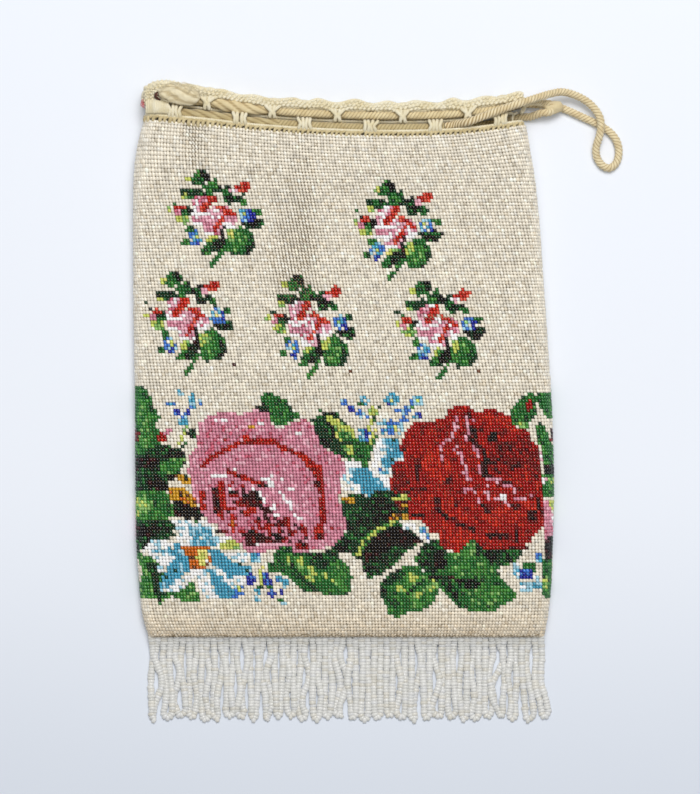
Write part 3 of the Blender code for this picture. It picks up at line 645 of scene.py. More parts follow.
# Up to these places, in millimetres from the frame's middle, the turns are spun loosely
LOWER_LOOSE_UNTIL, UPPER_LOOSE_UNTIL = -26, -28
# The lower turn swells over 30 mm to the left of one place, and the upper one around another
LOWER_SWELLS_FROM, LOWER_SWELLS_OVER = -24, 30
UPPER_SWELLS_AT, UPPER_HALF_WIDTH = -43.5, 9


def held_path(number, front_end_x):
    stop = along_front(front_end_x)
    alongs = np.concatenate([
        np.linspace(stop, 0, 60)[:-1],
        ring_length - np.linspace(0, end_turn, 14)[:-1],
        np.linspace(ring_length - end_turn, ring_length - end_turn - straight, 60),
    ])
    return smooth_path([casing_place(a, CASING_WALL / 2, turn_rise(number)) for a in alongs], HELD_CORD_STEP)


def pinch(x, first, pitch):
    """On the front the cord swells between the posts that hold it and is drawn in under them."""
    away = np.abs((x - first + pitch / 2) % pitch - pitch / 2)
    return 1 - 0.3 * np.exp(-(away / 2.7) ** 4) + 0.06 * np.exp(-((away - pitch / 2) / 4) ** 2)


def held_turn(name, path, swell, first_post, x, on_front, loose_until):
    """A turn in the casing, pinched by every second post and loosely spun left of a place on the front."""
    turn_length = np.where((x < loose_until) & on_front, LOOSE_TURN, PLY_TURN)
    pinched = np.where(on_front, pinch(x, first_post, 2 * POST_PITCH / MM), 1)
    return plied_cord(name, path, CORD_DIAMETER / 2 * swell * pinched, turn_length)


first_post = (front_posts[0] + casing_left + CASING_THICKNESS / 2 + PURSE_X) / MM
lower_path = held_path(0, loop_leaves - SEAT_GAP)
lower_x, lower_front = lower_path[:, 0] / MM, lower_path[:, 2] > LOWER_FRONT_Z
lower_swell = 1.16 + 0.18 * smooth_step((LOWER_SWELLS_FROM - lower_x) / LOWER_SWELLS_OVER) * lower_front
finish_piece(
    held_turn("lower_turn", lower_path, lower_swell, first_post, lower_x, lower_front, LOWER_LOOSE_UNTIL),
    lower_cord_yarn, "cord_yarn", "drawcord_lower_turn")
upper_path = held_path(1, cord_leaves - SEAT_GAP)
upper_x, upper_front = upper_path[:, 0] / MM, upper_path[:, 2] > UPPER_FRONT_Z
upper_swell = 1.14 + 0.72 * np.exp(-((upper_x - UPPER_SWELLS_AT) / UPPER_HALF_WIDTH) ** 2) * upper_front
finish_piece(
    held_turn("upper_turn", upper_path, upper_swell, first_post + POST_PITCH / MM, upper_x, upper_front,
              UPPER_LOOSE_UNTIL),
    held_cord_yarn, "cord_yarn", "drawcord_upper_turn")

# %% [markdown]
# ## The flowers, as a chart
#
# The flowers are knitted in: each bead was threaded in its own colour before the first stitch. Here a
# chart takes the place of the threading list. It is drawn with plain shapes, ovals, areas and strokes,
# as a designer marks petals and leaves on squared paper. A place on the chart is a distance across
# from its left side and down from its top, in units of 0.4 mm, so that a bead is about 3.3 units wide.
#
# A line of the chart names a mix of colours and a form, and then gives shapes of that form. An area is
# the list of its corners. An oval is its middle, its half width and half height, and its tilt in degrees
# if it has one. A stroke is its width and the points that it passes. Later shapes cover earlier ones.

# %% Bead colours and the mixes that fill a petal or a leaf
BEAD_COLOURS = {
    "ecru": (237, 228, 210),
    "cream": (244, 238, 224),
    "drab": (222, 210, 188),
    "white": (252, 250, 248),
    "pale_pink": (234, 176, 190),
    "pink": (213, 136, 156),
    "rose": (200, 92, 114),
    "red": (168, 12, 8),
    "scarlet": (204, 38, 14),
    "coral": (222, 84, 62),
    "dark_red": (122, 8, 12),
    "maroon": (66, 14, 20),
    "black": (20, 16, 18),
    "dark_green": (18, 60, 34),
    "green": (36, 110, 46),
    "bright_green": (72, 144, 58),
    "light_green": (140, 188, 104),
    "yellow_green": (200, 210, 98),
    "straw": (236, 226, 128),
    "ochre": (214, 158, 32),
    "orange": (212, 106, 16),
    "brown": (104, 56, 26),
    "pale_blue": (168, 214, 230),
    "turquoise": (74, 163, 193),
    "blue": (64, 120, 206),
    "dark_blue": (34, 42, 156),
}
MIXES = {
    "field": {"ecru": 80, "cream": 14, "drab": 6},
    "leaf": {"green": 72, "bright_green": 16, "dark_green": 12},
    "bright_leaf": {"bright_green": 50, "green": 38, "light_green": 12},
    "light_leaf": {"light_green": 42, "bright_green": 30, "yellow_green": 28},
    "dark_leaf": {"dark_green": 60, "green": 20, "black": 20},
    "night_leaf": {"black": 62, "dark_green": 32, "green": 6},
    "shadow": {"black": 80, "maroon": 14, "dark_green": 6},
    "tip": {"yellow_green": 72, "light_green": 20, "straw": 8},
    "dull_tip": {"yellow_green": 52, "bright_green": 26, "dark_green": 22},
    "gold": {"ochre": 76, "orange": 12, "brown": 12},
    "posy_petal": {"pink": 24, "pale_pink": 44, "white": 26, "rose": 6},
    "petal": {"pink": 78, "rose": 6, "pale_pink": 16},
    "bright_petal": {"pink": 80, "pale_pink": 17, "rose": 3},
    "deep_petal": {"rose": 24, "pink": 70, "pale_pink": 6},
    "line": {"red": 60, "scarlet": 26, "dark_red": 14},
    "posy_red": {"scarlet": 46, "coral": 34, "red": 20},
    "ember": {"scarlet": 78, "orange": 10, "red": 12},
    "crimson": {"red": 80, "scarlet": 10, "dark_red": 10},
    "bright_crimson": {"scarlet": 55, "red": 43, "dark_red": 2},
    "deep_crimson": {"dark_red": 58, "red": 34, "maroon": 8},
    "heart": {"maroon": 44, "black": 8, "dark_red": 48},
    "rose_dark": {"maroon": 58, "black": 24, "dark_red": 18},
    "inner_petal": {"pink": 58, "rose": 12, "red": 14, "maroon": 16},
    "rim": {"pink": 40, "pale_pink": 60},
    "snow": {"white": 100},
    "blush": {"pale_pink": 74, "white": 26},
    "frost": {"white": 70, "pale_blue": 18, "cream": 12},
    "ice": {"pale_blue": 66, "turquoise": 24, "white": 10},
    "water": {"turquoise": 58, "pale_blue": 34, "ecru": 8},
    "deep_water": {"turquoise": 90, "pale_blue": 7, "dark_green": 3},
    "sky": {"blue": 42, "turquoise": 22, "pale_blue": 24, "ecru": 12},
    "ink": {"dark_blue": 62, "blue": 28, "ecru": 10},
    "centre": {"straw": 60, "yellow_green": 30, "white": 10},
    "amber": {"orange": 88, "brown": 12},
}
print("bead colours:", len(BEAD_COLOURS), "mixes:", len(MIXES))

# %% [markdown]
# The small posy stands five times on the upper half of the bag. It is drawn once, around the middle
# of its rose, and each copy leans a little with the stitches where it stands.

# %% The small posy
POSY = [
    ("light_leaf", "oval", (-28, 8, 6, 5)), ("tip", "oval", (-33, 7, 3, 3)),
    ("leaf", "oval", (-22, 18, 4, 4)),
    ("leaf", "area", (-24, -37, -15, -47, -8, -46, -3, -38, -7, -33, -19, -29)),
    ("night_leaf", "area", (-16, -45, -9, -46, -3, -38, -7, -33, -12, -38)),
    ("tip", "oval", (-24, -36, 3, 3.5)), ("leaf", "area", (-12, -28, 0, -38, 7, -28, 7, -23, -7, -20)),
    ("night_leaf", "area", (1, -37, 7, -28, 7, -22, 0, -22, 2, -30)),
    ("dark_leaf", "area", (-33, -25, -15, -27, -7, -21, -19, -15, -29, -16)),
    ("tip", "oval", (-27, -17, 4, 2.5)),
    ("dark_leaf", "area", (8, -29, 15, -33, 16, -20, 27, -24, 24, -16, 13, -11, 8, -16)),
    ("leaf", "oval", (27, -15, 3.5, 4)), ("night_leaf", "oval", (15, -18, 5, 3)),
    ("posy_red", "area", (19, -28, 25, -38, 35, -33, 27, -24)), ("blush", "oval", (18, -26, 4.5, 3)),
    ("posy_red", "oval", (20, -30, 3, 2)), ("night_leaf", "oval", (-25, -1, 5.5, 5)),
    ("leaf", "oval", (-27, 2, 3, 3)), ("posy_red", "oval", (-31, -5, 5, 3)),
    ("petal", "oval", (-34, 1, 3.5, 3)), ("tip", "oval", (-41, -2, 2.2, 3)),
    ("dark_leaf", "oval", (-41, -13, 2.6, 1.6), (-36, -9, 2.6, 1.6)),
    ("posy_petal", "area", (-21, -15, -12, -20, 1, -21, 2, -14, -5, -6, 12, -10, 20, -2, 22, 9, 10, 14,
     9, 23, -8, 24, -10, 14, -20, 13, -20, -6)),
    ("posy_red", "area", (-7, -19, 1, -21, 2, -14, -4, -8, -5, -1, -13, 0, -14, -7, -7, -12)),
    ("posy_red", "stroke", (5, 4, -8, 14, -3, 19, 2), (4, 11, -2, 6, 8, 1, 17)),
    ("bright_petal", "area", (-19, 5, -6, 5, -4, 12, -18, 12)),
    ("snow", "stroke", (3.4, -20, 2, -12, 3, -3, 0), (3, -19, 13, -10, 13)),
    ("snow", "oval", (15, 12, 5, 2.6), (-3, 22, 5.5, 2.6)), ("blush", "oval", (-3, -2, 4, 2.5)),
    ("petal", "oval", (18, 4, 4, 3.5)), ("tip", "oval", (0, 26, 4, 2.2)),
    ("shadow", "stroke", (3.4, 9, 13, 9, 24, 11, 33)),
    ("leaf", "area", (-10, 41, -5, 30, 5, 25, 12, 31, 8, 39, -2, 44, -9, 44)),
    ("night_leaf", "area", (1, 29, 7, 25, 12, 31, 8, 39, -2, 44, 0, 36)), ("tip", "oval", (-3, 29, 3, 3)),
    ("leaf", "stroke", (4, 11, 37, 5, 48, -1, 56)),
    ("leaf", "area", (12, 18, 26, 11, 37, 20, 40, 33, 33, 43, 18, 45, 13, 35)),
    ("bright_leaf", "area", (16, 22, 26, 14, 32, 26, 26, 38, 18, 40)),
    ("dark_leaf", "area", (34, 20, 40, 33, 33, 43, 27, 44, 33, 34)),
    ("tip", "area", (12, 17, 20, 15, 21, 27, 14, 29)),
    ("night_leaf", "area", (23, 7, 37, 2, 48, 7, 43, 15, 32, 15)), ("dark_leaf", "oval", (43, 7, 4, 4)),
    ("leaf", "oval", (40, -5, 5, 3.6)), ("sky", "oval", (30, -1, 7, 8)),
    ("ink", "area", (33, -8, 38, -3, 38, 5, 31, 8, 33, 2)), ("tip", "oval", (29, -2, 2, 2.2)),
    ("sky", "oval", (-16, 27, 7, 8)), ("ink", "oval", (-15, 34, 4.2, 3)),
    ("tip", "oval", (-15, 26, 1.8, 2.2)), ("leaf", "oval", (-25, 33, 4, 3.6)),
]
# Each copy's middle, how far it leans and slopes, and its height and width as shares of the drawn one's
POSY_COPIES = [
    (214, 214, 0.04, 0.06, 0.92, 1.08),
    (187, 317, 0.00, 0.00, 1.00, 1.00),
    (309, 322, 0.00, 0.04, 1.00, 1.00),
    (396, 226, 0.12, 0.04, 0.95, 1.00),
    (438, 325, -0.03, 0.00, 0.96, 1.00),
]


def shape_count(*lists):
    return sum(len(shapes) for drawn in lists for mix, form, *shapes in drawn)


print("shapes in the posy:", shape_count(POSY))

# %% [markdown]
# The garland runs round the lower half: a pink rose, a white and blue lily, forget-me-nots, a blue
# flower and a red rose, with leaves between them. What lies behind is drawn first.

# %% The garland's leaves, from left to right
LEAVES = [
    ("leaf", "area", (126, 388, 143, 387, 150, 395, 152, 406, 160, 416, 154, 426, 160, 431, 157, 437,
     160, 445, 168, 448, 159, 456, 126, 460)),
    ("bright_leaf", "area", (138, 396, 146, 400, 150, 416, 150, 440, 156, 450, 142, 454, 138, 430)),
    ("heart", "area", (126, 428, 136, 429, 141, 434, 137, 442, 126, 442)),
    ("dark_leaf", "area", (158, 446, 180, 447, 187, 458, 185, 464, 176, 478, 166, 485, 150, 492, 126, 492,
     126, 460)), ("night_leaf", "area", (160, 450, 182, 450, 184, 458, 160, 459)),
    ("bright_leaf", "area", (161, 460, 185, 459, 182, 468, 172, 476, 162, 474)),
    ("shadow", "area", (126, 459, 160, 458, 158, 467, 148, 470, 126, 472)),
    ("dark_leaf", "area", (126, 471, 150, 468, 158, 476, 140, 484, 126, 484)),
    ("shadow", "area", (150, 477, 160, 478, 168, 486, 173, 490, 158, 491, 148, 484)),
    ("field", "area", (172, 484, 184, 480, 190, 488, 174, 490)),
    ("gold", "area", (174, 476, 177, 473, 184, 473, 189, 477, 193, 482, 187, 486, 181, 481), (190, 476,
     203, 477, 203, 481, 192, 482)), ("shadow", "stroke", (2.4, 183, 474, 188, 480)),
    ("bright_leaf", "area", (126, 488, 151, 491, 166, 492, 172, 504, 174, 516, 159, 521, 126, 524)),
    ("light_leaf", "area", (126, 498, 144, 497, 151, 506, 148, 515, 126, 516)),
    ("leaf", "area", (152, 500, 170, 504, 172, 514, 158, 518)),
    ("shadow", "area", (173, 500, 193, 503, 201, 510, 204, 517, 188, 519, 173, 517)),
    ("gold", "area", (168, 489, 184, 489, 191, 495, 199, 504, 196, 508, 184, 502, 172, 502)),
    ("shadow", "stroke", (2.2, 176, 493, 186, 498)),
    ("dark_leaf", "area", (194, 516, 202, 516, 200, 524, 195, 523), (126, 521, 159, 520, 170, 520, 178, 526,
     171, 530, 176, 535, 168, 540, 152, 541, 146, 545, 140, 552, 126, 552)),
    ("shadow", "area", (126, 527, 150, 526, 160, 528, 157, 536, 140, 538, 126, 540)),
    ("bright_leaf", "area", (126, 553, 146, 555, 154, 558, 160, 564, 157, 572, 164, 574, 160, 581, 158, 590,
     166, 593, 170, 596, 160, 605, 155, 599, 145, 599, 126, 596)),
    ("field", "area", (126, 556, 138, 558, 142, 572, 140, 582, 126, 582)),
    ("dark_leaf", "area", (146, 562, 159, 564, 156, 573, 163, 575, 158, 590, 166, 594, 159, 602, 152, 590,
     150, 576)),
    ("bright_leaf", "area", (166, 593, 184, 590, 188, 583, 194, 583, 195, 591, 199, 595, 198, 602, 183, 603,
     173, 596)),
    ("leaf", "area", (257, 406, 262, 404, 262, 396, 268, 392, 278, 397, 289, 402, 291, 411, 301, 413,
     298, 418, 289, 423, 280, 427, 273, 424, 269, 419, 268, 412, 257, 411)),
    ("night_leaf", "area", (257, 405, 264, 403, 270, 410, 272, 420, 268, 412, 257, 411)),
    ("dark_leaf", "area", (310, 420, 323, 414, 315, 411, 321, 410, 338, 414, 343, 421, 353, 428, 358, 442,
     350, 460, 345, 459, 339, 456, 326, 448, 317, 440, 316, 429)),
    ("tip", "area", (325, 415, 336, 418, 353, 429, 354, 438, 341, 442, 333, 433)),
    ("bright_leaf", "area", (334, 430, 350, 431, 355, 440, 342, 441)),
    ("light_leaf", "area", (341, 444, 360, 445, 352, 457, 344, 452)),
    ("shadow", "stroke", (2.6, 329, 416, 331, 426, 335, 438)),
    ("leaf", "area", (354, 439, 370, 442, 378, 435, 373, 446, 370, 461, 368, 471, 362, 466, 354, 460)),
    ("tip", "stroke", (3, 380, 419, 375, 432, 370, 442), (3, 372, 420, 369, 430)),
    ("leaf", "area", (508, 411, 516, 403, 524, 395, 534, 391, 538, 400, 534, 406, 537, 416, 527, 423,
     525, 428, 519, 425, 513, 424, 512, 418)),
    ("crimson", "area", (526, 402, 531, 399, 533, 405, 530, 414, 526, 412)),
    ("light_leaf", "oval", (524, 425, 5, 3)),
    ("leaf", "area", (536, 393, 560, 391, 560, 421, 549, 420, 542, 411, 537, 401), (537, 422, 542, 424,
     548, 432, 548, 442, 560, 446, 560, 465, 544, 464, 543, 446, 540, 446, 537, 439)),
    ("heart", "area", (550, 428, 560, 428, 560, 442, 550, 441)), ("blush", "oval", (541.5, 455, 2, 6)),
    ("shadow", "area", (542, 464, 560, 464, 560, 476, 543, 475)),
    ("leaf", "area", (543, 475, 560, 475, 560, 498, 543, 498)), ("light_leaf", "oval", (552, 481, 5, 3)),
    ("blush", "oval", (544.5, 480, 2.2, 4)), ("tip", "area", (547, 500, 560, 500, 560, 511, 549, 509)),
    ("petal", "area", (543, 499, 549, 501, 551, 512, 560, 514, 560, 535, 553, 537, 547, 541, 543, 537)),
    ("blush", "area", (550, 512, 560, 513, 560, 530, 551, 524)),
    ("shadow", "area", (548, 536, 560, 533, 560, 559, 545, 560, 544, 543)),
    ("leaf", "area", (543, 560, 560, 559, 560, 596, 544, 598, 542, 590)),
    ("light_leaf", "oval", (546, 583, 3, 7)),
]
print("shapes in the garland's leaves:", shape_count(LEAVES))

# %% The pink rose
PINK_ROSE = [
    ("petal", "area", (188, 475, 188, 457, 196, 448, 198, 434, 199, 424, 208, 416, 221, 412, 231, 412,
     240, 415, 249, 412, 256, 410, 269, 412, 270, 422, 276, 428, 284, 427, 293, 423, 306, 419, 313, 425,
     317, 435, 320, 443, 327, 450, 341, 457, 346, 465, 348, 473, 341, 480, 339, 487, 342, 492, 337, 498,
     341, 506, 343, 514, 347, 523, 351, 527, 342, 532, 343, 537, 333, 545, 325, 548, 306, 552, 294, 553,
     292, 547, 279, 550, 257, 552, 244, 551, 241, 544, 232, 539, 228, 536, 216, 533, 216, 529, 219, 526,
     208, 522, 206, 516, 200, 513, 200, 506, 193, 496, 191, 486, 192, 477)),
    ("deep_petal", "area", (206, 430, 222, 424, 246, 428, 260, 434, 280, 436, 292, 444, 270, 440, 240, 440,
     222, 448, 206, 458, 198, 462, 200, 444)),
    ("bright_petal", "area", (206, 462, 226, 454, 250, 447, 276, 448, 296, 458, 304, 472, 296, 478, 280, 474,
     262, 470, 240, 466, 220, 470, 204, 472), (276, 488, 300, 482, 312, 492, 314, 512, 300, 524, 290, 516,
     280, 504)),
    ("deep_petal", "area", (262, 446, 286, 452, 306, 466, 312, 486, 306, 484, 296, 466, 276, 456)),
    ("bright_petal", "area", (328, 454, 341, 458, 346, 468, 338, 478, 330, 474)),
    ("deep_petal", "area", (326, 490, 336, 494, 336, 506, 328, 506)),
    ("bright_petal", "area", (328, 508, 342, 508, 345, 522, 332, 528)),
    ("line", "stroke", (4.8, 203, 465, 210, 458, 224, 450, 237, 444, 250, 441, 264, 441, 274, 443, 283, 448,
     299, 454, 306, 459, 309, 466, 318, 471, 320, 484, 322, 494, 323, 506, 325, 517, 319, 528, 316, 536)),
    ("line", "area", (306, 460, 312, 464, 324, 463, 322, 475, 314, 474, 309, 468)),
    ("line", "stroke", (7, 302, 456, 316, 470, 321, 484), (6.5, 323, 500, 324, 518, 317, 532)),
    ("inner_petal", "area", (222, 500, 240, 508, 262, 512, 284, 520, 304, 524, 310, 536, 296, 544, 262, 546,
     240, 534, 222, 522), (226, 480, 244, 486, 262, 492, 264, 508, 244, 506, 228, 500)),
    ("ember", "area", (243, 434, 249, 434, 248, 444, 242, 444)), ("ember", "oval", (273, 441, 4, 3)),
    ("line", "oval", (225, 441, 3, 2)), ("ember", "stroke", (3.4, 305, 458, 308, 466)),
    ("heart", "oval", (317, 483, 3, 4)),
    ("snow", "oval", (215, 419, 2, 1.8), (224, 419, 4, 1.8), (260, 424, 3, 2)),
    ("gold", "oval", (251, 426, 2.6, 2)), ("snow", "oval", (299, 433.5, 4.2, 1.8)),
]
print("shapes in the pink rose's outer petals:", shape_count(PINK_ROSE))

# %% The pink rose's heart: whites, reds and darks
PINK_ROSE_HEART = [
    ("line", "stroke", (5, 227, 471, 237, 475, 248, 479, 257, 483, 266, 486)),
    ("rose_dark", "oval", (238, 477.5, 3, 1.8)), ("heart", "oval", (262, 486, 4.5, 2)),
    ("snow", "oval", (219, 476, 7.2, 2.8), (234, 468, 3.6, 1.8), (240, 471, 2.2, 1.8), (266, 478, 5.2, 2),
     (273, 475, 2, 1.8), (277, 481, 2, 1.8), (281, 478, 2.2, 1.6), (271, 485, 3, 3.4)),
    ("line", "area", (218, 482, 224, 481, 226, 496, 224, 518, 218, 517)),
    ("rose_dark", "area", (210, 487, 218, 487, 219, 514, 212, 514)), ("blush", "oval", (231, 488, 4, 2)),
    ("rose_dark", "oval", (234, 491.5, 5.5, 1.8)), ("snow", "oval", (252, 490, 2.4, 1.6), (261, 494, 3, 2)),
    ("rose_dark", "area", (243, 493, 256, 491, 262, 499, 252, 500, 244, 498)),
    ("snow", "oval", (265, 501, 2.2, 4)), ("line", "area", (234, 500, 242, 499, 242, 508, 235, 509)),
    ("heart", "area", (244, 500, 256, 500, 258, 506, 246, 506)),
    ("ember", "area", (242, 510, 254, 506, 256, 513, 244, 516)),
    ("rose_dark", "stroke", (4.6, 258, 502, 263, 508, 270, 513)),
    ("snow", "oval", (273, 508, 3, 3.6), (275.5, 515.5, 4, 2), (280, 493.5, 3.2, 2), (284, 497.5, 4, 2),
     (289, 502, 2.2, 2.2), (291, 488, 2, 3), (290, 508, 2, 4), (294, 516, 2.4, 2), (301, 519, 3.4, 2)),
    ("blush", "oval", (291, 528, 2, 2), (299, 523, 2.6, 1.8)),
    ("line", "area", (198, 492, 205, 492, 206, 499, 199, 499), (201, 502, 208, 503, 208, 512, 202, 512)),
    ("ember", "area", (229, 512, 235, 514, 236, 532, 231, 532)),
    ("deep_petal", "area", (236, 518, 252, 520, 250, 532, 238, 530)),
    ("heart", "area", (216, 529, 228, 529, 229, 533, 217, 533), (255, 516, 261, 517, 262, 525, 256, 525),
     (274, 522, 283, 521, 282, 528, 275, 528)), ("line", "area", (283, 516, 291, 517, 291, 526, 285, 526)),
    ("heart", "oval", (300, 528.5, 4, 2), (290, 532, 3.4, 3)), ("line", "oval", (266, 528, 4, 3)),
    ("rose_dark", "area", (245, 534, 252, 530, 261, 534, 261, 544, 252, 548, 246, 544)),
    ("heart", "area", (260, 539, 272, 537, 273, 544, 261, 545)),
    ("rose_dark", "area", (272, 533, 280, 532, 281, 541, 274, 541)),
    ("blush", "stroke", (2.4, 254, 546, 284, 545)),
    ("line", "area", (295, 543, 309, 542, 309, 548, 296, 549)), ("rose_dark", "oval", (304, 544, 4, 1.8)),
    ("heart", "oval", (320, 537, 4, 3.4)), ("line", "oval", (333, 527, 3, 1.8)),
    ("ember", "oval", (319, 531, 4, 3)),
]
print("shapes in the pink rose's heart:", shape_count(PINK_ROSE_HEART))

# %% The lily at the lower left
LILY = [
    ("frost", "area", (170, 523, 175, 519, 192, 519, 194, 524, 201, 519, 209, 523, 215, 530, 216, 547,
     184, 547, 173, 540, 180, 533, 174, 529, 178, 526)),
    ("ice", "area", (188, 527, 210, 527, 214, 536, 215, 547, 192, 547, 187, 534)),
    ("water", "area", (193, 534, 210, 532, 213, 547, 192, 547)),
    ("frost", "area", (143, 551, 146, 545, 152, 541, 170, 540, 184, 547, 184, 556, 176, 563, 166, 565,
     162, 572, 156, 571, 160, 563, 150, 556)),
    ("water", "area", (150, 549, 166, 548, 178, 543, 186, 548, 188, 560, 176, 555, 160, 554)),
    ("deep_water", "area", (168, 564, 177, 557, 188, 559, 190, 570, 178, 580, 166, 589, 159, 593, 159, 583,
     166, 573)), ("frost", "area", (170, 586, 175, 580, 188, 576, 192, 580, 184, 590, 166, 592)),
    ("ice", "oval", (182, 587, 4, 2.4)),
    ("frost", "area", (189, 571, 205, 570, 210, 579, 213, 589, 218, 598, 204, 597, 198, 586, 192, 578),
     (222, 552, 249, 552, 249, 563, 235, 562), (213, 570, 244, 576, 246, 586, 226, 586)),
    ("deep_water", "area", (208, 549, 219, 549, 225, 557, 234, 562, 249, 566, 254, 570, 248, 576, 228, 578,
     222, 570, 212, 566), (206, 568, 214, 572, 222, 577, 228, 585, 242, 585, 243, 595, 225, 601, 217, 595,
     212, 584)), ("sky", "area", (230, 587, 243, 585, 244, 595, 232, 599)),
    ("frost", "oval", (219, 573.5, 4, 3)), ("tip", "oval", (239, 589, 2, 2)),
    ("frost", "area", (216, 536, 230, 536, 227, 543, 216, 546)),
    ("tip", "area", (219, 545, 231, 539, 241, 545, 240, 551, 220, 550)),
    ("water", "area", (250, 553, 261, 552, 261, 562, 252, 562)), ("sky", "oval", (257.5, 555, 2.4, 3)),
    ("amber", "area", (181, 548, 210, 548, 207, 554, 213, 561, 207, 568, 191, 568, 189, 561)),
    ("centre", "area", (198, 551, 206, 550, 208, 557, 206, 565, 199, 565, 196, 557)),
]
print("shapes in the lily:", shape_count(LILY))

# %% The forget-me-nots and the blue flowers
# Forget-me-nots beside the lily
FORGET_ME_NOTS = [
    ("tip", "stroke", (3, 258, 568, 260, 580, 262, 589), (2.4, 263, 566, 258, 576)),
    ("leaf", "oval", (259, 588, 3, 2)), ("ink", "oval", (251, 580, 4, 6.4)),
    ("leaf", "oval", (270, 586, 4, 3)), ("leaf", "area", (267, 563, 274, 563, 274, 572, 268, 571)),
    ("ink", "oval", (268, 580, 4.6, 6.4)), ("sky", "oval", (263, 576, 2.2, 3), (279, 579, 3, 3.6)),
    ("water", "oval", (284, 583, 5, 4.6)), ("ink", "oval", (272, 594, 4.6, 4.2), (282, 594, 3.6, 3.8)),
    ("snow", "oval", (277, 591, 2.2, 2)), ("leaf", "oval", (280, 600, 4.4, 3)),
    ("ice", "oval", (284, 604, 3.4, 2)), ("water", "area", (254, 590, 261, 590, 262, 603, 256, 602)),
    ("sky", "oval", (259, 600, 2.6, 3)),
]
# The sprig over the pink rose's left side
LEFT_SPRIG = [
    ("tip", "stroke", (3, 186, 427, 183, 435, 180, 443), (2.4, 193, 410, 194, 420)),
    ("dark_leaf", "oval", (192, 433, 4.6, 5)), ("dark_leaf", "stroke", (2.6, 187, 441, 181, 449)),
    ("sky", "oval", (171, 404, 3.6, 2.6)), ("ice", "oval", (180, 394, 3, 3.4)),
    ("water", "oval", (191.5, 398, 3, 5)), ("sky", "oval", (192.5, 406, 3.2, 2.8), (200, 402, 2.8, 2.6)),
    ("ink", "oval", (177.5, 413.5, 4.6, 3.6), (187, 412, 4, 3.6)), ("snow", "oval", (181.5, 414, 2, 2.2)),
    ("sky", "oval", (183, 419.5, 5, 3.6)), ("water", "oval", (183, 424, 3.6, 2.6)),
    ("crimson", "oval", (162, 437, 5, 5)), ("petal", "oval", (167.5, 431, 4.4, 2.8, 30)),
]
# Forget-me-nots between the roses
MIDDLE_SPRIG = [
    ("sky", "oval", (343.5, 402.5, 4.6, 2.8)), ("ink", "oval", (351.5, 409.5, 3.8, 4.4)),
    ("water", "oval", (364, 401, 4.6, 4.6)), ("leaf", "oval", (360.5, 404.5, 3, 2)),
    ("sky", "oval", (361, 413, 5, 5)), ("ink", "oval", (366, 416, 2.4, 1.8)),
    ("tip", "oval", (374, 412, 5, 5)), ("dark_leaf", "oval", (378.5, 408, 2, 2), (373.5, 419, 2, 2)),
    ("water", "oval", (392, 400.5, 7.4, 6.6)), ("ink", "oval", (388, 404, 2.6, 2.4)),
    ("sky", "oval", (397, 404, 3, 3)), ("tip", "oval", (392.5, 401, 1.8, 1.8)),
    ("ice", "oval", (416.5, 401, 7, 6)), ("sky", "oval", (411, 402.5, 2.4, 2.6)),
    ("tip", "oval", (417, 401, 1.8, 1.8)), ("leaf", "oval", (410, 407, 2.6, 2)),
    ("sky", "oval", (405.5, 411, 4.4, 6.4)), ("ink", "oval", (398, 411, 2.4, 2), (419.5, 415, 4, 2.4)),
    ("ice", "oval", (414, 418, 3.4, 2)), ("sky", "oval", (404, 419.5, 4, 3.4)),
    ("water", "oval", (381.5, 422.5, 4, 3.2)), ("sky", "oval", (394.5, 428, 8, 8.6)),
    ("tip", "oval", (396, 428.5, 2, 2.4)), ("sky", "oval", (384.5, 433, 4, 3.4), (363.5, 434, 6.4, 7.2)),
    ("ink", "oval", (366, 433, 3, 5)), ("snow", "oval", (359.5, 433.5, 2, 3)),
]
# The blue flower behind the red rose
BLUE_FLOWER = [
    ("frost", "area", (346, 461, 360, 461, 362, 469, 369, 471, 372, 459, 375, 444, 383, 437, 400, 438,
     400, 445, 408, 458, 397, 462, 392, 466, 391, 478, 392, 492, 384, 491, 370, 496, 360, 495, 352, 492,
     344, 492, 339, 482, 347, 472)),
    ("deep_water", "area", (387, 438, 398, 439, 400, 446, 407, 457, 396, 460, 390, 466, 388, 476, 380, 476,
     380, 462, 386, 452), (353, 470, 366, 468, 374, 476, 384, 484, 386, 491, 370, 496, 362, 495, 359, 486,
     350, 480)), ("shadow", "stroke", (2.6, 400, 448, 408, 459)), ("sky", "oval", (383, 468, 3, 4)),
]
# The blue flowers at the right edge
EDGE_FLOWERS = [
    ("leaf", "area", (523, 564, 536, 563, 536, 571, 524, 571)), ("sky", "oval", (538.5, 557, 4.2, 6)),
    ("ice", "area", (514, 563, 520, 564, 520, 578, 515, 577)), ("ink", "oval", (526.5, 574, 7, 6.4)),
    ("sky", "oval", (538, 583, 5.4, 6.6)), ("ice", "area", (520, 582, 533, 584, 532, 593, 521, 592)),
    ("snow", "oval", (534, 578, 2, 2)),
]
print("shapes in the small flowers:", shape_count(
    FORGET_ME_NOTS, LEFT_SPRIG, MIDDLE_SPRIG, BLUE_FLOWER, EDGE_FLOWERS))

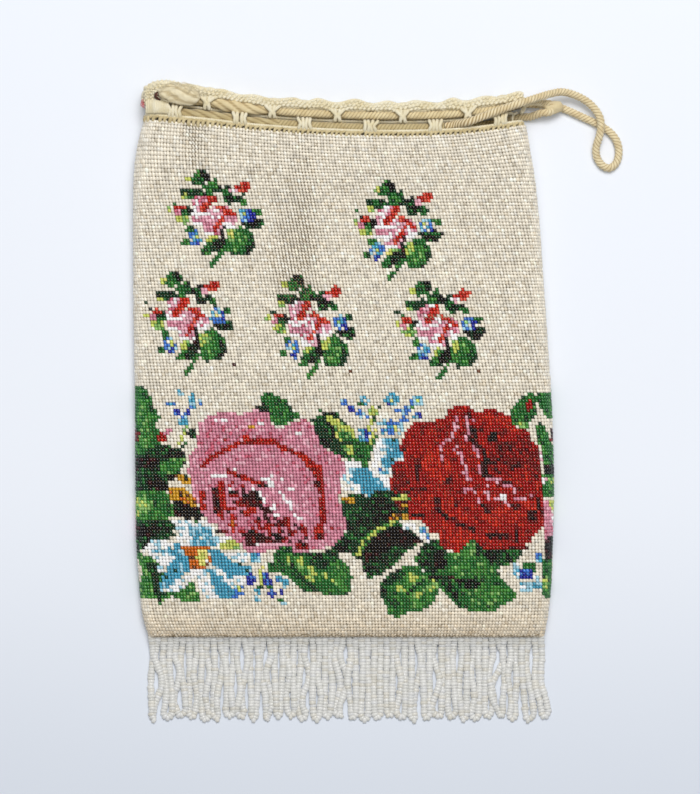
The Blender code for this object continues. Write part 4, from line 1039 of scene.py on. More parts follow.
# %% The leaves under the roses
# The leaf under the pink rose
PINK_ROSE_LEAF = [
    ("leaf", "area", (273, 555, 280, 548, 291, 546, 293, 553, 304, 554, 320, 553, 334, 547, 338, 555,
     349, 567, 352, 577, 350, 591, 345, 596, 326, 595, 316, 592, 306, 592, 296, 585, 289, 577, 280, 574,
     273, 569)),
    ("dark_leaf", "area", (300, 553, 320, 553, 334, 547, 338, 556, 334, 568, 318, 568, 304, 560)),
    ("dark_leaf", "stroke", (3, 282, 550, 292, 566, 304, 582, 318, 590)),
    ("tip", "oval", (288.5, 560.5, 3.2, 4.6), (300.5, 563, 4.6, 5.6), (311, 575, 5, 9), (325, 575, 3, 4),
     (333, 580, 2, 2.6)), ("bright_leaf", "area", (330, 560, 346, 568, 350, 582, 344, 592, 334, 588)),
]
# The long dark leaf left of the red rose
DARK_LEAF = [
    ("dark_leaf", "area", (340, 496, 360, 495, 369, 496, 378, 491, 392, 491, 407, 494, 420, 493, 412, 504,
     408, 511, 409, 519, 400, 522, 412, 532, 420, 536, 425, 541, 416, 545, 408, 552, 396, 564, 384, 573,
     368, 580, 363, 569, 361, 560, 355, 559, 349, 553, 337, 553, 331, 548, 339, 541, 345, 535, 346, 523,
     342, 510)),
    ("night_leaf", "area", (370, 500, 394, 494, 406, 500, 398, 512, 384, 520, 364, 526, 356, 518)),
    ("dark_leaf", "area", (348, 514, 366, 508, 372, 518, 356, 530, 346, 528)),
    ("night_leaf", "area", (338, 542, 352, 536, 350, 552, 336, 552)),
    ("shadow", "area", (374, 536, 396, 526, 410, 532, 423, 541, 408, 547, 396, 546, 384, 552, 372, 560,
     364, 562, 366, 548)), ("dark_leaf", "area", (384, 552, 400, 546, 404, 556, 388, 568, 376, 572)),
    ("night_leaf", "area", (362, 562, 376, 560, 372, 578, 366, 572)),
    ("dull_tip", "stroke", (5.6, 392, 523, 380, 528, 369, 536, 363, 544), (4, 364, 544, 360, 551, 356, 557)),
    ("gold", "stroke", (5.4, 391, 518, 400, 515, 410, 518)),
    ("gold", "area", (342, 497, 356, 496, 354, 503, 344, 504)),
    ("tip", "stroke", (4.4, 393, 499, 404, 497, 418, 495)),
    ("heart", "area", (394, 501, 408, 499, 404, 507, 395, 507)),
    ("gold", "stroke", (3.6, 401, 508, 409, 505)),
    ("frost", "area", (399, 522, 411, 522, 417, 527, 415, 531, 404, 530)),
    ("sky", "area", (416, 525, 425, 526, 428, 533, 420, 532)),
    ("frost", "area", (416, 531, 424, 533, 432, 540, 429, 544, 420, 538)),
    ("sky", "oval", (428, 536, 2.4, 2.4)),
]
# The leaf at the bottom left of the red rose
CORNER_LEAF = [
    ("leaf", "area", (380, 585, 389, 575, 403, 567, 419, 566, 427, 576, 441, 581, 440, 590, 435, 600,
     429, 607, 419, 612, 404, 614, 399, 619, 388, 615, 387, 607, 382, 600, 379, 594)),
    ("dark_leaf", "area", (380, 585, 389, 575, 403, 567, 406, 573, 392, 586, 386, 598, 382, 598)),
    ("bright_leaf", "area", (408, 570, 424, 574, 438, 584, 430, 602, 412, 610, 404, 596)),
    ("tip", "oval", (413, 577.5, 5, 4), (400, 590, 5, 3), (415.5, 586, 3, 4), (419, 595, 2, 3.6)),
    ("light_leaf", "oval", (433.5, 586, 6, 5.6)),
    ("dark_leaf", "stroke", (2.6, 424, 580, 410, 592, 396, 606)),
]
# The leaves under the red rose
RED_ROSE_LEAVES = [
    ("leaf", "area", (424, 543, 432, 540, 438, 541, 442, 549, 450, 552, 462, 548, 470, 541, 476, 541,
     484, 549, 507, 550, 521, 547, 524, 553, 519, 559, 504, 567, 496, 568, 500, 577, 507, 586, 518, 594,
     510, 602, 498, 608, 496, 612, 468, 611, 459, 607, 448, 597, 441, 591, 441, 581, 428, 576, 420, 566,
     414, 560)),
    ("dark_leaf", "area", (424, 543, 436, 541, 446, 552, 444, 566, 434, 576, 424, 570, 416, 560)),
    ("shadow", "area", (434, 550, 445, 551, 446, 566, 438, 572, 433, 562)),
    ("bright_leaf", "area", (446, 556, 462, 549, 472, 541, 476, 545, 474, 556, 460, 562)),
    ("night_leaf", "area", (476, 544, 490, 549, 508, 551, 508, 558, 490, 561, 478, 556)),
    ("dark_leaf", "area", (488, 562, 510, 556, 522, 549, 522, 557, 504, 566)),
    ("bright_leaf", "area", (446, 566, 470, 562, 490, 564, 496, 572, 470, 576, 448, 574)),
    ("shadow", "stroke", (3, 430, 576, 442, 578, 455, 576)),
    ("night_leaf", "area", (456, 580, 480, 581, 482, 587, 466, 588, 457, 585)),
    ("dark_leaf", "area", (441, 580, 452, 580, 458, 592, 460, 604, 450, 597)),
    ("bright_leaf", "area", (464, 590, 500, 584, 514, 594, 500, 604, 474, 606)),
]
print("shapes in the lower leaves:", shape_count(PINK_ROSE_LEAF, DARK_LEAF, CORNER_LEAF, RED_ROSE_LEAVES))

# %% The red rose
RED_ROSE = [
    ("crimson", "area", (400, 445, 404, 436, 408, 428, 416, 421, 434, 421, 447, 416, 448, 411, 457, 406,
     470, 407, 473, 411, 494, 410, 509, 415, 512, 426, 527, 429, 530, 438, 537, 446, 541, 457, 542, 474,
     543, 492, 544, 526, 537, 532, 531, 541, 524, 545, 507, 550, 485, 549, 476, 541, 469, 541, 464, 548,
     458, 552, 444, 550, 438, 543, 438, 535, 430, 533, 425, 523, 408, 518, 408, 505, 411, 497, 392, 492,
     391, 481, 391, 467, 397, 461, 405, 459)),
    ("bright_crimson", "area", (424, 446, 440, 450, 452, 466, 448, 482, 432, 480, 422, 464), (410, 498,
     430, 494, 446, 492, 456, 506, 466, 514, 476, 512, 476, 520, 462, 520, 446, 512, 426, 510)),
    ("deep_crimson", "area", (392, 472, 404, 470, 412, 482, 404, 490, 393, 490)),
    ("bright_crimson", "area", (440, 524, 456, 524, 474, 530, 470, 540, 460, 548, 446, 546, 440, 538),
     (480, 512, 500, 508, 516, 504, 530, 500, 538, 508, 520, 520, 500, 526, 484, 524), (474, 412, 508, 417,
     511, 428, 494, 426, 478, 422)),
    ("deep_crimson", "area", (520, 430, 530, 440, 538, 450, 541, 474, 532, 480, 524, 462, 516, 444)),
]
# The dark places between its petals
RED_ROSE_DARKS = [
    ("heart", "area", (415, 459, 420, 459, 420, 484, 416, 484)),
    ("heart", "stroke", (3.4, 412, 489, 426, 490)),
    ("heart", "area", (433, 497, 440, 498, 442, 512, 434, 512)),
    ("heart", "stroke", (4, 436, 508, 446, 517, 454, 521), (4.4, 457, 524, 466, 527, 475, 530)),
    ("heart", "area", (463, 411, 472, 410, 472, 418, 465, 418)),
    ("rose_dark", "area", (468, 423, 475, 425, 476, 440, 481, 446, 481, 450, 474, 448, 468, 440)),
    ("heart", "oval", (479, 430, 2.6, 2)),
    ("rose_dark", "area", (488, 434, 495, 432, 497, 440, 489, 444), (482, 449, 487, 449, 488, 474,
     482, 475)), ("deep_crimson", "area", (488, 444, 520, 440, 524, 466, 508, 474, 489, 472)),
    ("rose_dark", "area", (487, 458, 499, 459, 498, 465, 488, 466)),
    ("heart", "area", (497, 446, 510, 440, 512, 448, 500, 452), (508, 459, 519, 458, 520, 469, 510, 470)),
    ("rose_dark", "stroke", (4, 482, 474, 494, 477)),
    ("rose_dark", "area", (503, 480, 513, 481, 512, 485, 502, 484)), ("heart", "oval", (499, 484, 4, 2.4)),
    ("heart", "area", (482, 504, 489, 505, 490, 513, 484, 513)), ("heart", "oval", (516, 506, 5, 3.4)),
    ("heart", "area", (485, 533, 511, 534, 510, 541, 488, 540)),
    ("heart", "stroke", (3.8, 518, 528, 517, 541)),
    ("heart", "area", (528, 510, 537, 512, 536, 525, 529, 524)),
    ("heart", "stroke", (3.4, 537, 498, 542, 514)), ("heart", "oval", (448, 481, 4, 2.4)),
    ("heart", "area", (396, 490, 410, 490, 408, 496, 398, 494)),
    ("heart", "stroke", (3, 526, 548, 510, 549)), ("rose_dark", "oval", (418, 516, 6, 2.4)),
    ("heart", "oval", (456, 505, 3, 2), (404, 449, 3, 3)),
]
# Pale pink lines along the petals' rims
RED_ROSE_RIMS = [
    ("rim", "stroke", (2.6, 457, 418, 454, 423), (3, 460, 426, 455, 428, 453, 436, 447, 441, 440, 447,
     443, 452, 443, 459), (2.6, 466, 416, 468, 424, 468, 434, 465, 441), (2.6, 473, 447, 477, 451, 480, 460,
     481, 475)), ("rim", "oval", (474, 419, 1.8, 1.8)),
    ("rim", "stroke", (3, 453, 451, 460, 452, 463, 458, 461, 463)), ("rim", "oval", (458, 445, 1.8, 1.8)),
    ("rim", "stroke", (4, 467, 465, 465, 472, 470, 480), (2.6, 464, 488, 473, 488)),
    ("rim", "oval", (466, 491, 1.8, 1.8)),
    ("rim", "stroke", (2.6, 487, 479, 502, 479), (2.6, 498, 483, 506, 486), (3, 507, 486, 515, 488,
     516, 492), (2.6, 483, 491, 489, 492, 490, 500)),
    ("rim", "oval", (475.5, 491, 1.8, 1.8), (488.5, 485, 1.8, 1.8)), ("snow", "oval", (503, 498, 4, 3.2)),
    ("rim", "oval", (497, 500, 2.6, 1.8)),
    ("rim", "stroke", (2.6, 506, 503, 511, 507), (2.4, 516, 499, 524, 499)),
    ("rim", "oval", (533, 495, 1.8, 1.6)), ("rim", "stroke", (2.6, 479, 498, 481, 505)),
    ("rim", "oval", (411, 461, 1.8, 1.6)),
]
print("shapes in the red rose:", shape_count(RED_ROSE, RED_ROSE_DARKS, RED_ROSE_RIMS))

# %% [markdown]
# To read the chart, each shape asks all the beads at once whether they lie in it. Inside a shape, a bead
# takes one of the mix's colours by chance, with the odds that the mix gives, which brings the lively
# mottling of real beadwork. The random numbers have a fixed seed.

# %% Read the chart
def in_area(u, v, corners):
    points = np.array(corners, float).reshape(-1, 2)
    inside = np.zeros(len(u), bool)
    for (ua, va), (ub, vb) in zip(points, np.roll(points, -1, axis=0)):
        if va == vb:
            continue
        crosses = (va > v) != (vb > v)
        inside ^= crosses & (u < (ub - ua) * (v - va) / (vb - va) + ua)
    return inside


def in_oval(u, v, numbers):
    across, down, half_width, half_height, *tilt = numbers
    turn = np.radians(-tilt[0] if tilt else 0.0)
    du, dv = u - across, v - down
    along = (du * np.cos(turn) + dv * np.sin(turn)) / half_width
    away = (dv * np.cos(turn) - du * np.sin(turn)) / half_height
    return along**2 + away**2 < 1


def in_stroke(u, v, numbers):
    width, *rest = numbers
    points = np.array(rest, float).reshape(-1, 2)
    inside = np.zeros(len(u), bool)
    for a, b in zip(points, points[1:]):
        step = b - a
        share = np.clip(((u - a[0]) * step[0] + (v - a[1]) * step[1]) / (step @ step), 0, 1)
        gap = np.hypot(u - a[0] - share * step[0], v - a[1] - share * step[1])
        inside |= gap < width / 2
    return inside


SHAPE_TESTS = {"area": in_area, "oval": in_oval, "stroke": in_stroke}
GARLAND = [
    LEAVES, PINK_ROSE, PINK_ROSE_HEART, LILY, FORGET_ME_NOTS, LEFT_SPRIG, MIDDLE_SPRIG, BLUE_FLOWER,
    EDGE_FLOWERS, PINK_ROSE_LEAF, DARK_LEAF, CORNER_LEAF, RED_ROSE_LEAVES, RED_ROSE, RED_ROSE_DARKS,
    RED_ROSE_RIMS,
]


def mixes_at(u, v):
    """The number of the mix at each place of the chart."""
    names = list(MIXES)
    found = np.zeros(len(u), int)
    layers = [(POSY, copy) for copy in POSY_COPIES] + [(drawn, None) for drawn in GARLAND]
    for drawn, copy in layers:
        at_u, at_v = u, v
        if copy:
            across, down, lean, slope, height, width = copy
            at_v = (v - down - slope * (u - across)) / height
            at_u = (u - across) / width + lean * at_v
        for mix, form, *shapes in drawn:
            for numbers in shapes:
                found[SHAPE_TESTS[form](at_u, at_v, numbers)] = names.index(mix)
    return found


def bead_colours(u, v, seed):
    """Each bead's colour as red, green and blue of 0 to 1, as they look on a screen."""
    chance = np.random.default_rng(seed).random(len(u))
    found = mixes_at(u, v)
    colours = np.zeros((len(u), 3))
    for number, mix in enumerate(MIXES.values()):
        here = np.flatnonzero(found == number)
        limits = np.cumsum(list(mix.values())) / sum(mix.values())
        picks = np.searchsorted(limits, chance[here]).clip(max=len(mix) - 1)
        palette = np.array([BEAD_COLOURS[name] for name in mix]) / 255
        colours[here] = palette[picks]
    return colours


print("shapes in the garland:", shape_count(*GARLAND))

# %% [markdown]
# ## The beads
#
# The whole bag is one knitted tube of about forty thousand beads, in 154 rows of 262. A particle system or
# geometry nodes could scatter them, but each bead must sit in its own stitch and take its own colour from
# the chart. So one bead is modelled and copied to every stitch. The columns of stitches lean a little,
# because the knitting pulls to one side. The back lies on the table, and its beads are plain blocks with
# smooth shading.

# %% One bead
ROWS = 154
COLUMNS = 262
ROW_PITCH = MOUTH / ROWS
BEAD_LONG = 0.84 * MM
BEAD_SHORT = 0.70 * MM
BEAD_DEEP = 0.48 * MM
BEAD_SLANT = math.radians(49)
BEAD_INSET = 0.48 * MM
# Share of its light that the painted shade leaves on a bead's lowest sides
PAINTED_SIDE_LIGHT = 0.42


def cut_to_triangles():
    """The points and triangles of the shape that was added last, which is then taken away."""
    made = bpy.context.object
    bpy.ops.object.mode_set(mode="EDIT")
    bpy.ops.mesh.select_all(action="SELECT")
    bpy.ops.mesh.quads_convert_to_tris()
    bpy.ops.object.mode_set(mode="OBJECT")
    points = np.array([v.co for v in made.data.vertices])
    triangles = np.array([face.vertices[:] for face in made.data.polygons])
    bpy.data.objects.remove(made, do_unlink=True)
    return points, triangles


def knitted(shape):
    """A bead in its stitch: its back is drawn out along the hole, and its sides spread and fill the
    stitch."""
    points, triangles = shape[0].copy(), shape[1]
    ring = np.abs(points[:, 2]) < 0.9
    points[ring & (points[:, 2] > 0)] *= (1.15, 0.74, 1.2)
    points[ring & (points[:, 2] < 0)] *= (1.16, 1.35, 0.1)
    return points, triangles


bpy.ops.mesh.primitive_uv_sphere_add(segments=6, ring_count=3, radius=1)
ball = cut_to_triangles()
full_bead = knitted(ball)
bpy.ops.mesh.primitive_cube_add(size=1.5)
plain_bead = cut_to_triangles()
print("triangles in a bead:", len(full_bead[1]), "and on the back:", len(plain_bead[1]))


def copies(name, shape, places, axes, colours, painted_side_light=PAINTED_SIDE_LIGHT):
    """One mesh of many beads. The axes are each bead's three half lengths as vectors. Each bead's colour
    carries painted shade: it darkens down the bead's sides towards the cloth, to a share of its light, and
    pale beads are darkened less than deep colours."""
    points, triangles = shape
    vertices = places[:, None, :] + np.einsum("pk,nkj->npj", points, axes)
    starts = np.arange(len(places))[:, None, None] * len(points)
    corners = (triangles[None] + starts).reshape(-1)
    faces = len(corners) // 3
    mesh = bpy.data.meshes.new(name)
    mesh.vertices.add(len(places) * len(points))
    mesh.vertices.foreach_set("co", vertices.astype(np.float32).ravel())
    mesh.loops.add(len(corners))
    mesh.loops.foreach_set("vertex_index", corners.astype(np.int32))
    mesh.polygons.add(faces)
    mesh.polygons.foreach_set("loop_start", np.arange(0, len(corners), 3, dtype=np.int32))
    mesh.update(calc_edges=True)
    mesh.validate()
    mesh.shade_smooth()
    layer = mesh.color_attributes.new("bead_colour", "FLOAT_COLOR", "POINT")
    linear = to_linear(colours)
    shown = np.ones((len(places), len(points), 4), np.float32)
    # Painted shade: each bead's colour darkens down its sides, less for pale beads
    painted_shade = np.interp(points[:, 2], (0.0, 0.5), (1 - painted_side_light, 0.0))
    paleness = colours.min(axis=1)
    shown[..., :3] = linear[:, None, :] * (1 - painted_shade[None, :] * (1 - 0.95 * paleness[:, None]))[..., None]
    layer.data.foreach_set("color", shown.ravel())
    return link(name, mesh)


# %% The glass
def glass_material(name, roughness, specular):
    """Seed-bead glass that takes its colour from the beads' own colours."""
    made, nodes, links, shader = new_material(name)
    set_inputs(shader, {"Roughness": roughness, "IOR": 1.5, "Specular IOR Level": specular})
    colour = nodes.new("ShaderNodeAttribute")
    colour.attribute_name = "bead_colour"
    links.new(colour.outputs["Color"], shader.inputs["Base Color"])
    return made


bead_glass = glass_material("bead_glass", 0.22, 0.8)
clear_glass = glass_material("clear_bead_glass", 0.22, 0.5)
set_inputs(clear_glass.node_tree.nodes["Principled BSDF"], {
    "Subsurface Weight": 0.15, "Subsurface Radius": (1.0, 1.0, 1.0), "Subsurface Scale": 0.5 * MM,
    "Alpha": 0.78})
print("glass:", bead_glass.name, "and", clear_glass.name)

# %% Where the beads lie
# The share of the height, then the lean of the columns in degrees
COLUMN_LEAN = np.array([(0, 2.5), (0.25, 4), (0.5, 7), (1, 10)])
bead_random = np.random.default_rng(7)
grids = np.meshgrid(np.arange(ROWS), np.arange(COLUMNS), indexing="ij")
row_number, column_number = (grid.ravel() for grid in grids)
heights = (row_number + 0.5) * ROW_PITCH
lean = np.tan(np.radians(np.interp((np.arange(ROWS) + 0.5) / ROWS, *COLUMN_LEAN.T)))
drift = -np.cumsum(lean)
turns = (column_number + drift[row_number] - drift[ROWS // 2]) / COLUMNS
places, out = bag_surface(turns, heights, BEAD_INSET)
# The directions along the row and up the column come from the surface a little to each side of the bead
step = 0.2 / COLUMNS
along = bag_surface(turns + step, heights, BEAD_INSET)[0] - bag_surface(turns - step, heights, BEAD_INSET)[0]
along = unit(along)
upward = bag_surface(turns, np.minimum(heights + 0.5 * MM, MOUTH), BEAD_INSET)[0]
upward -= bag_surface(turns, np.maximum(heights - 0.5 * MM, 0), BEAD_INSET)[0]
upward -= along * np.einsum("ij,ij->i", upward, along)[:, None]
row_stretch = np.linalg.norm(upward, axis=1)[:, None] / MM
upward /= row_stretch * MM
outward = np.cross(along, upward)
print("knitted beads:", len(places))

# %% Each bead's colour
# Where the hem's middle lies on the chart
CHART_MIDDLE, CHART_HEM = 344, 638
# A few single beads of a wrong colour, as in the real one: their places on the chart
STRAY_BEADS = [(233.5, 363.3, "maroon"), (351, 370, "brown"), (480, 370, "brown")]
# Soil near the hem: how far up it reaches, and the shares of red, green and blue light that it takes
SOIL_REACH = 10 * MM
SOIL_TAKES = np.array([0.03, 0.06, 0.10])
BRIGHTNESS_VARIES = 0.04
on_front = out[:, 2] > -0.05
across_chart = CHART_MIDDLE + (places[:, 0] - PURSE_X) / CHART_UNIT * np.where(on_front, 1, -1)
down_chart = CHART_HEM - (places[:, 1] - HEM_Y) / CHART_UNIT
colours = bead_colours(across_chart, down_chart, 5)
for stray_across, stray_down, stray in STRAY_BEADS:
    nearest = np.argmin(np.hypot(across_chart - stray_across, down_chart - stray_down) + 1e6 * ~on_front)
    colours[nearest] = np.array(BEAD_COLOURS[stray]) / 255
soiled = np.exp(-(heights / SOIL_REACH) ** 2)[:, None] * (0.75 + 0.5 * bead_random.random((len(colours), 1)))
colours = colours * (1 - soiled * SOIL_TAKES)
colours *= 1 + bead_random.normal(0, BRIGHTNESS_VARIES, (len(colours), 1))
colours = np.clip(colours, 0.01, 1)
print("beads on the front:", int(on_front.sum()), "and on the back:", int((~on_front).sum()))

# %% Each bead's size and slant
SLANT_VARIES = 0.14
SIZE_VARIES = 0.05
LIFT_VARIES, SHIFT_VARIES = 0.05 * MM, 0.03 * MM
# The pale beads are a little larger than the coloured ones
PALE_SWELL = 0.07
# Where the folds pull the knitting apart, the beads fill less of it: the loss at a full fold's depth
FULL_FOLD = 0.5 * MM
FOLD_LOSS = 0.3
LEAST_BEAD_Z = 0.62 * MM
BACK_BEAD_SWELL = 1.12
# In the photo the pink beads slant the other way
is_pink = (colours[:, 0] > 0.6) & (colours[:, 2] > 1.15 * colours[:, 1])
slant = np.where(is_pink, BEAD_SLANT, -BEAD_SLANT) + bead_random.normal(0, SLANT_VARIES, len(places))
size = 1 + bead_random.normal(0, SIZE_VARIES, (len(places), 3))
size[:, :2] *= (1 + PALE_SWELL * colours.min(axis=1))[:, None]
pulled = relief(places[:, 0] - PURSE_X, places[:, 1] - HEM_Y) / FULL_FOLD * on_front
size[:, 1] *= 1 - FOLD_LOSS * np.clip(pulled, 0, 1)
long_axis = np.cos(slant)[:, None] * along + np.sin(slant)[:, None] * upward
short_axis = np.cross(outward, long_axis)
long_axis, short_axis = (axis + upward * (row_stretch - 1) * np.einsum("ij,ij->i", axis, upward)[:, None]
                         for axis in (long_axis, short_axis))
half_sizes = size * (BEAD_LONG, BEAD_SHORT, BEAD_DEEP)
axes = np.stack([long_axis, short_axis, outward], axis=1) * half_sizes[:, :, None]
places += outward * bead_random.normal(0, LIFT_VARIES, len(places))[:, None]
places += along * bead_random.normal(0, SHIFT_VARIES, len(places))[:, None]
places[:, 2] = np.maximum(places[:, 2], LEAST_BEAD_Z)

# Name, shape, side, first row, row after the last and swell
BEAD_BANDS = [
    ("front_beads_lower", full_bead, on_front, 0, 50, 1),
    ("front_beads_middle", full_bead, on_front, 50, 100, 1),
    ("front_beads_upper", full_bead, on_front, 100, ROWS, 1),
    ("back_beads_lower", plain_bead, ~on_front, 0, 78, BACK_BEAD_SWELL),
    ("back_beads_upper", plain_bead, ~on_front, 78, ROWS, BACK_BEAD_SWELL),
]
for name, shape, on_side, first_row, end_row, swell in BEAD_BANDS:
    here = on_side & (row_number >= first_row) & (row_number < end_row)
    piece = copies(name, shape, places[here], axes[here] * swell, colours[here])
    finish_piece(piece, bead_glass, "beads", "beaded_body")

# %% [markdown]
# Between the beads the knitted thread shows as dark grey-brown. It is a thin tube under the beads, closed
# at the hem and open at the mouth, with its inside as plain knitting.

# %% The knitted thread under the beads
TUBE_SIDES = 96
OUTER_INSET, INNER_INSET = 0.8 * MM, 1.45 * MM
OUTER_HEIGHTS = [height * MM for height in (0.15, 1, 2.5, 4.5, 8, *range(12, 201, 5))] + [MOUTH]
INNER_HEIGHTS = [height * MM for height in (2.6, 6.5, *range(14, 201, 12))] + [MOUTH]
HEM_LINE_DROPS = (0.1, 0.7)
HEM_LINE_STEPS = 260
HEM_LINE_TURN = 0.238


def thread_tube():
    """Rings of the outside from the hem up, then rings of the inside down again."""
    count = TUBE_SIDES
    turns = np.arange(count) / count
    rings = [bag_surface(turns, np.full(count, h), OUTER_INSET)[0] for h in OUTER_HEIGHTS]
    rings += [bag_surface(turns, np.full(count, h), INNER_INSET)[0] for h in INNER_HEIGHTS[::-1]]
    points = np.vstack(rings)
    faces = []
    for k in range(len(rings) - 1):
        for j in range(count):
            after = (j + 1) % count
            low, high = k * count, (k + 1) * count
            faces.append((low + j, high + j, high + after, low + after))
    faces.append(tuple(range(count)))
    last = (len(rings) - 1) * count
    faces.append(tuple(range(last + count - 1, last - 1, -1)))
    mesh = bpy.data.meshes.new("knitted_thread")
    mesh.from_pydata(points.tolist(), [], faces)
    layer = mesh.uv_layers.new(name="thread")
    corners = np.array([points[i][:2] / MM for face in mesh.polygons for i in face.vertices], np.float32)
    layer.data.foreach_set("uv", corners.ravel())
    mesh.shade_smooth()
    return link("knitted_thread", mesh)


finish_piece(thread_tube(), bead_thread, "beads", "beaded_body")
hem_random = np.random.default_rng(17)
hem_line = Threads()
for drop in HEM_LINE_DROPS:
    hem_turns = np.linspace(-HEM_LINE_TURN, HEM_LINE_TURN, HEM_LINE_STEPS)
    hem_heights = (drop + hem_random.normal(0, 0.28, HEM_LINE_STEPS)) * MM
    line = bag_surface(hem_turns, np.maximum(hem_heights, 0.02 * MM), 0.05 * MM)[0]
    hem_line.add(line, 0.3 * MM, 5)
finish_piece(hem_line.make("hem_thread"), bead_thread, "beads")

# %% [markdown]
# ## The fringe
#
# Thirty-two loops of clear beads hang from the hem, each threaded on its own thread. The ball that the
# bag's bead was made from is used as it is, set end to end along each loop's path.

# %% The fringe loops
LOOP_COUNT = 32
FRINGE_LENGTH = 33.4 * MM
FRINGE_STARTS_IN = 2.5 * MM
LOOP_WIDTH = 2.48 * MM
FRINGE_BEAD_PITCH = 1.22 * MM
# Half sizes to the side, along the thread and up
FRINGE_BEAD = np.array([1.75, 1.3, 0.38]) * MM
# Heights of the thread on the table and at the hem
FRINGE_REST, FRINGE_TOP = 0.65 * MM, 3.3 * MM
SWAY = 0.7 * MM
LIFT = 0.3 * MM
LEG_SHARES = (0.0, 0.12, 0.24, 0.36, 0.48, 0.60, 0.72, 0.84, 0.94)
# Loops that have swung to the left or right at their ends, in millimetres
SWINGS = {0: -0.6, 12: -0.6, 13: 0.7, 30: 1.4, 31: 2.8}
FRINGE_TINTS = np.array([
    (255, 254, 250), (252, 251, 246), (247, 246, 240), (252, 248, 238), (249, 249, 248), (243, 239, 228),
]) / 255
TINT_ODDS = [0.3, 0.25, 0.17, 0.1, 0.1, 0.08]
fringe_random = np.random.default_rng(23)


def fringe_leg(x, long, swing):
    """One side of a loop, from the hem to near its foot."""
    sway, phase = fringe_random.normal(0, SWAY), fringe_random.uniform(4, 11)
    lift = fringe_random.uniform(0, 6)
    leg = []
    for share in LEG_SHARES:
        drop = max(0.0, 1 - share / 0.2) ** 1.5
        level = FRINGE_REST + LIFT * (1 + math.sin(lift + phase * share)) * min(1, 8 * (0.94 - share))
        bend = sway * math.sin(phase * share) * min(1, share / 0.24) + swing * share**2
        leg.append((x + bend, -SEAT_GAP - long * share, level + (FRINGE_TOP - level) * drop))
    return leg


first_loop, last_loop = float(edges(0.0)[0]) + FRINGE_STARTS_IN, float(edges(0.0)[1]) - FRINGE_STARTS_IN
loop_pitch = (last_loop - first_loop) / (LOOP_COUNT - 1)
fringe_threads = Threads()
fringe_places, fringe_axes = [], []
for number in range(LOOP_COUNT):
    x = first_loop + loop_pitch * number
    long = FRINGE_LENGTH - 1.7 * MM * math.sin(2.4 * number) ** 2
    swing = SWINGS.get(number, 0.0) * MM
    left_leg, right_leg = (fringe_leg(x + side * LOOP_WIDTH / 2, long, swing) for side in (-1, 1))
    foot = (x + swing, -SEAT_GAP - long, FRINGE_REST)
    path = smooth_path(np.array([*left_leg, foot, *right_leg[::-1]]) + ORIGIN, FRINGE_BEAD_PITCH)
    fringe_threads.add(path, 0.2 * MM, 4)
    ahead = unit(np.gradient(path, axis=0))
    side = unit(np.cross(ahead, (0, 0, 1.0)))
    up = np.cross(side, ahead)
    half_sizes = FRINGE_BEAD * (1 + fringe_random.normal(0, 0.07, (len(path), 3)))
    fringe_places.append(path + side * fringe_random.normal(0, 0.06 * MM, (len(path), 1)))
    fringe_axes.append(np.stack([side, ahead, up], axis=1) * half_sizes[:, :, None])
fringe_places, fringe_axes = np.vstack(fringe_places), np.vstack(fringe_axes)
fringe_colours = FRINGE_TINTS[fringe_random.choice(len(FRINGE_TINTS), len(fringe_places), p=TINT_ODDS)]
fringe_nodes = [f"fringe_loop_{number:02d}" for number in range(1, LOOP_COUNT + 1)]
fringe_beads = copies("fringe_beads", ball, fringe_places, fringe_axes, fringe_colours, 1.0)
finish_piece(fringe_beads, clear_glass, "clear_beads", *fringe_nodes)
finish_piece(fringe_threads.make("fringe_threads"), pale_thread, "clear_beads", *fringe_nodes)

# %% [markdown]
# ## The crocheted casing
#
# The casing is worked in yarn on to the mouth: a row of small stitches with holes between them, then
# posts that pass over one turn of the cord and under the other, a chain between the two turns, and a
# thick edging in scallops. A displaced band couldn't show the cord through it, so each strand of the
# stitches is a thread of its own. All the stitches of one kind share one shape.

# %% Strands of the casing
YARN = 0.40 * MM
YARN_SIDES = 6
SMALL_STEP = 0.6 * MM
SCALLOP_HEIGHT = 2.2
yarn_random = np.random.default_rng(31)
casing = Threads()
whole = ring_length / MM


def strand(threads, points, radius, spacing=SMALL_STEP):
    """One strand of yarn. A point is a distance along the ring, a depth and a rise, in millimetres."""
    placed = [casing_place(a * MM, d * MM, r * MM) for a, d, r in points]
    threads.add(smooth_path(placed, spacing), radius, YARN_SIDES)


def wavy_chain(rise, depth, pitch, sway, radius, scallop=0.0):
    """Two strands that cross over each other along the whole ring, as the top of a chain does."""
    count = round(whole / pitch)
    for phase in (0.0, math.pi):
        points = []
        for k in range(count * 4 + 1):
            a = whole * k / (count * 4)
            turn = 2 * math.pi * a / (whole / count) + phase
            level = rise + sway * math.sin(turn) + scallop * scallop_at(a)
            points.append(casing_place(a * MM, (depth - 0.25 * math.cos(turn)) * MM, level * MM))
        casing.add(points, radius, YARN_SIDES)


def scallop_at(a):
    """The scallops crest midway between posts and dip at them, unevenly and less at the left, and at the
    left end the edging ducks under its curl."""
    left_end = whole - end_turn / MM / 2
    away = min(abs(a - left_end), abs(a + whole - left_end))
    swell = np.interp(a, (0, 40, 58), (0.45, 0.6, 1.0)) * (0.85 + 0.22 * math.sin(0.33 * a + 1))
    uneven = (a + 0.9 * math.sin(0.21 * a)) * MM
    wave = 0.5 - 0.5 * math.cos(2 * math.pi * (uneven - front_posts[0]) / POST_PITCH)
    return 0.25 + 0.75 * wave * swell - 1.0 * math.exp(-(away / 9) ** 4)


def post_dip(a):
    """How far the foot of the edging comes down to each post of the upper row, between arches."""
    away = (a - front_posts[1] / MM + POST_PITCH / MM) % (2 * POST_PITCH / MM) - POST_PITCH / MM
    return 0.6 - 1.85 * math.exp(-(away / 3.2) ** 2)


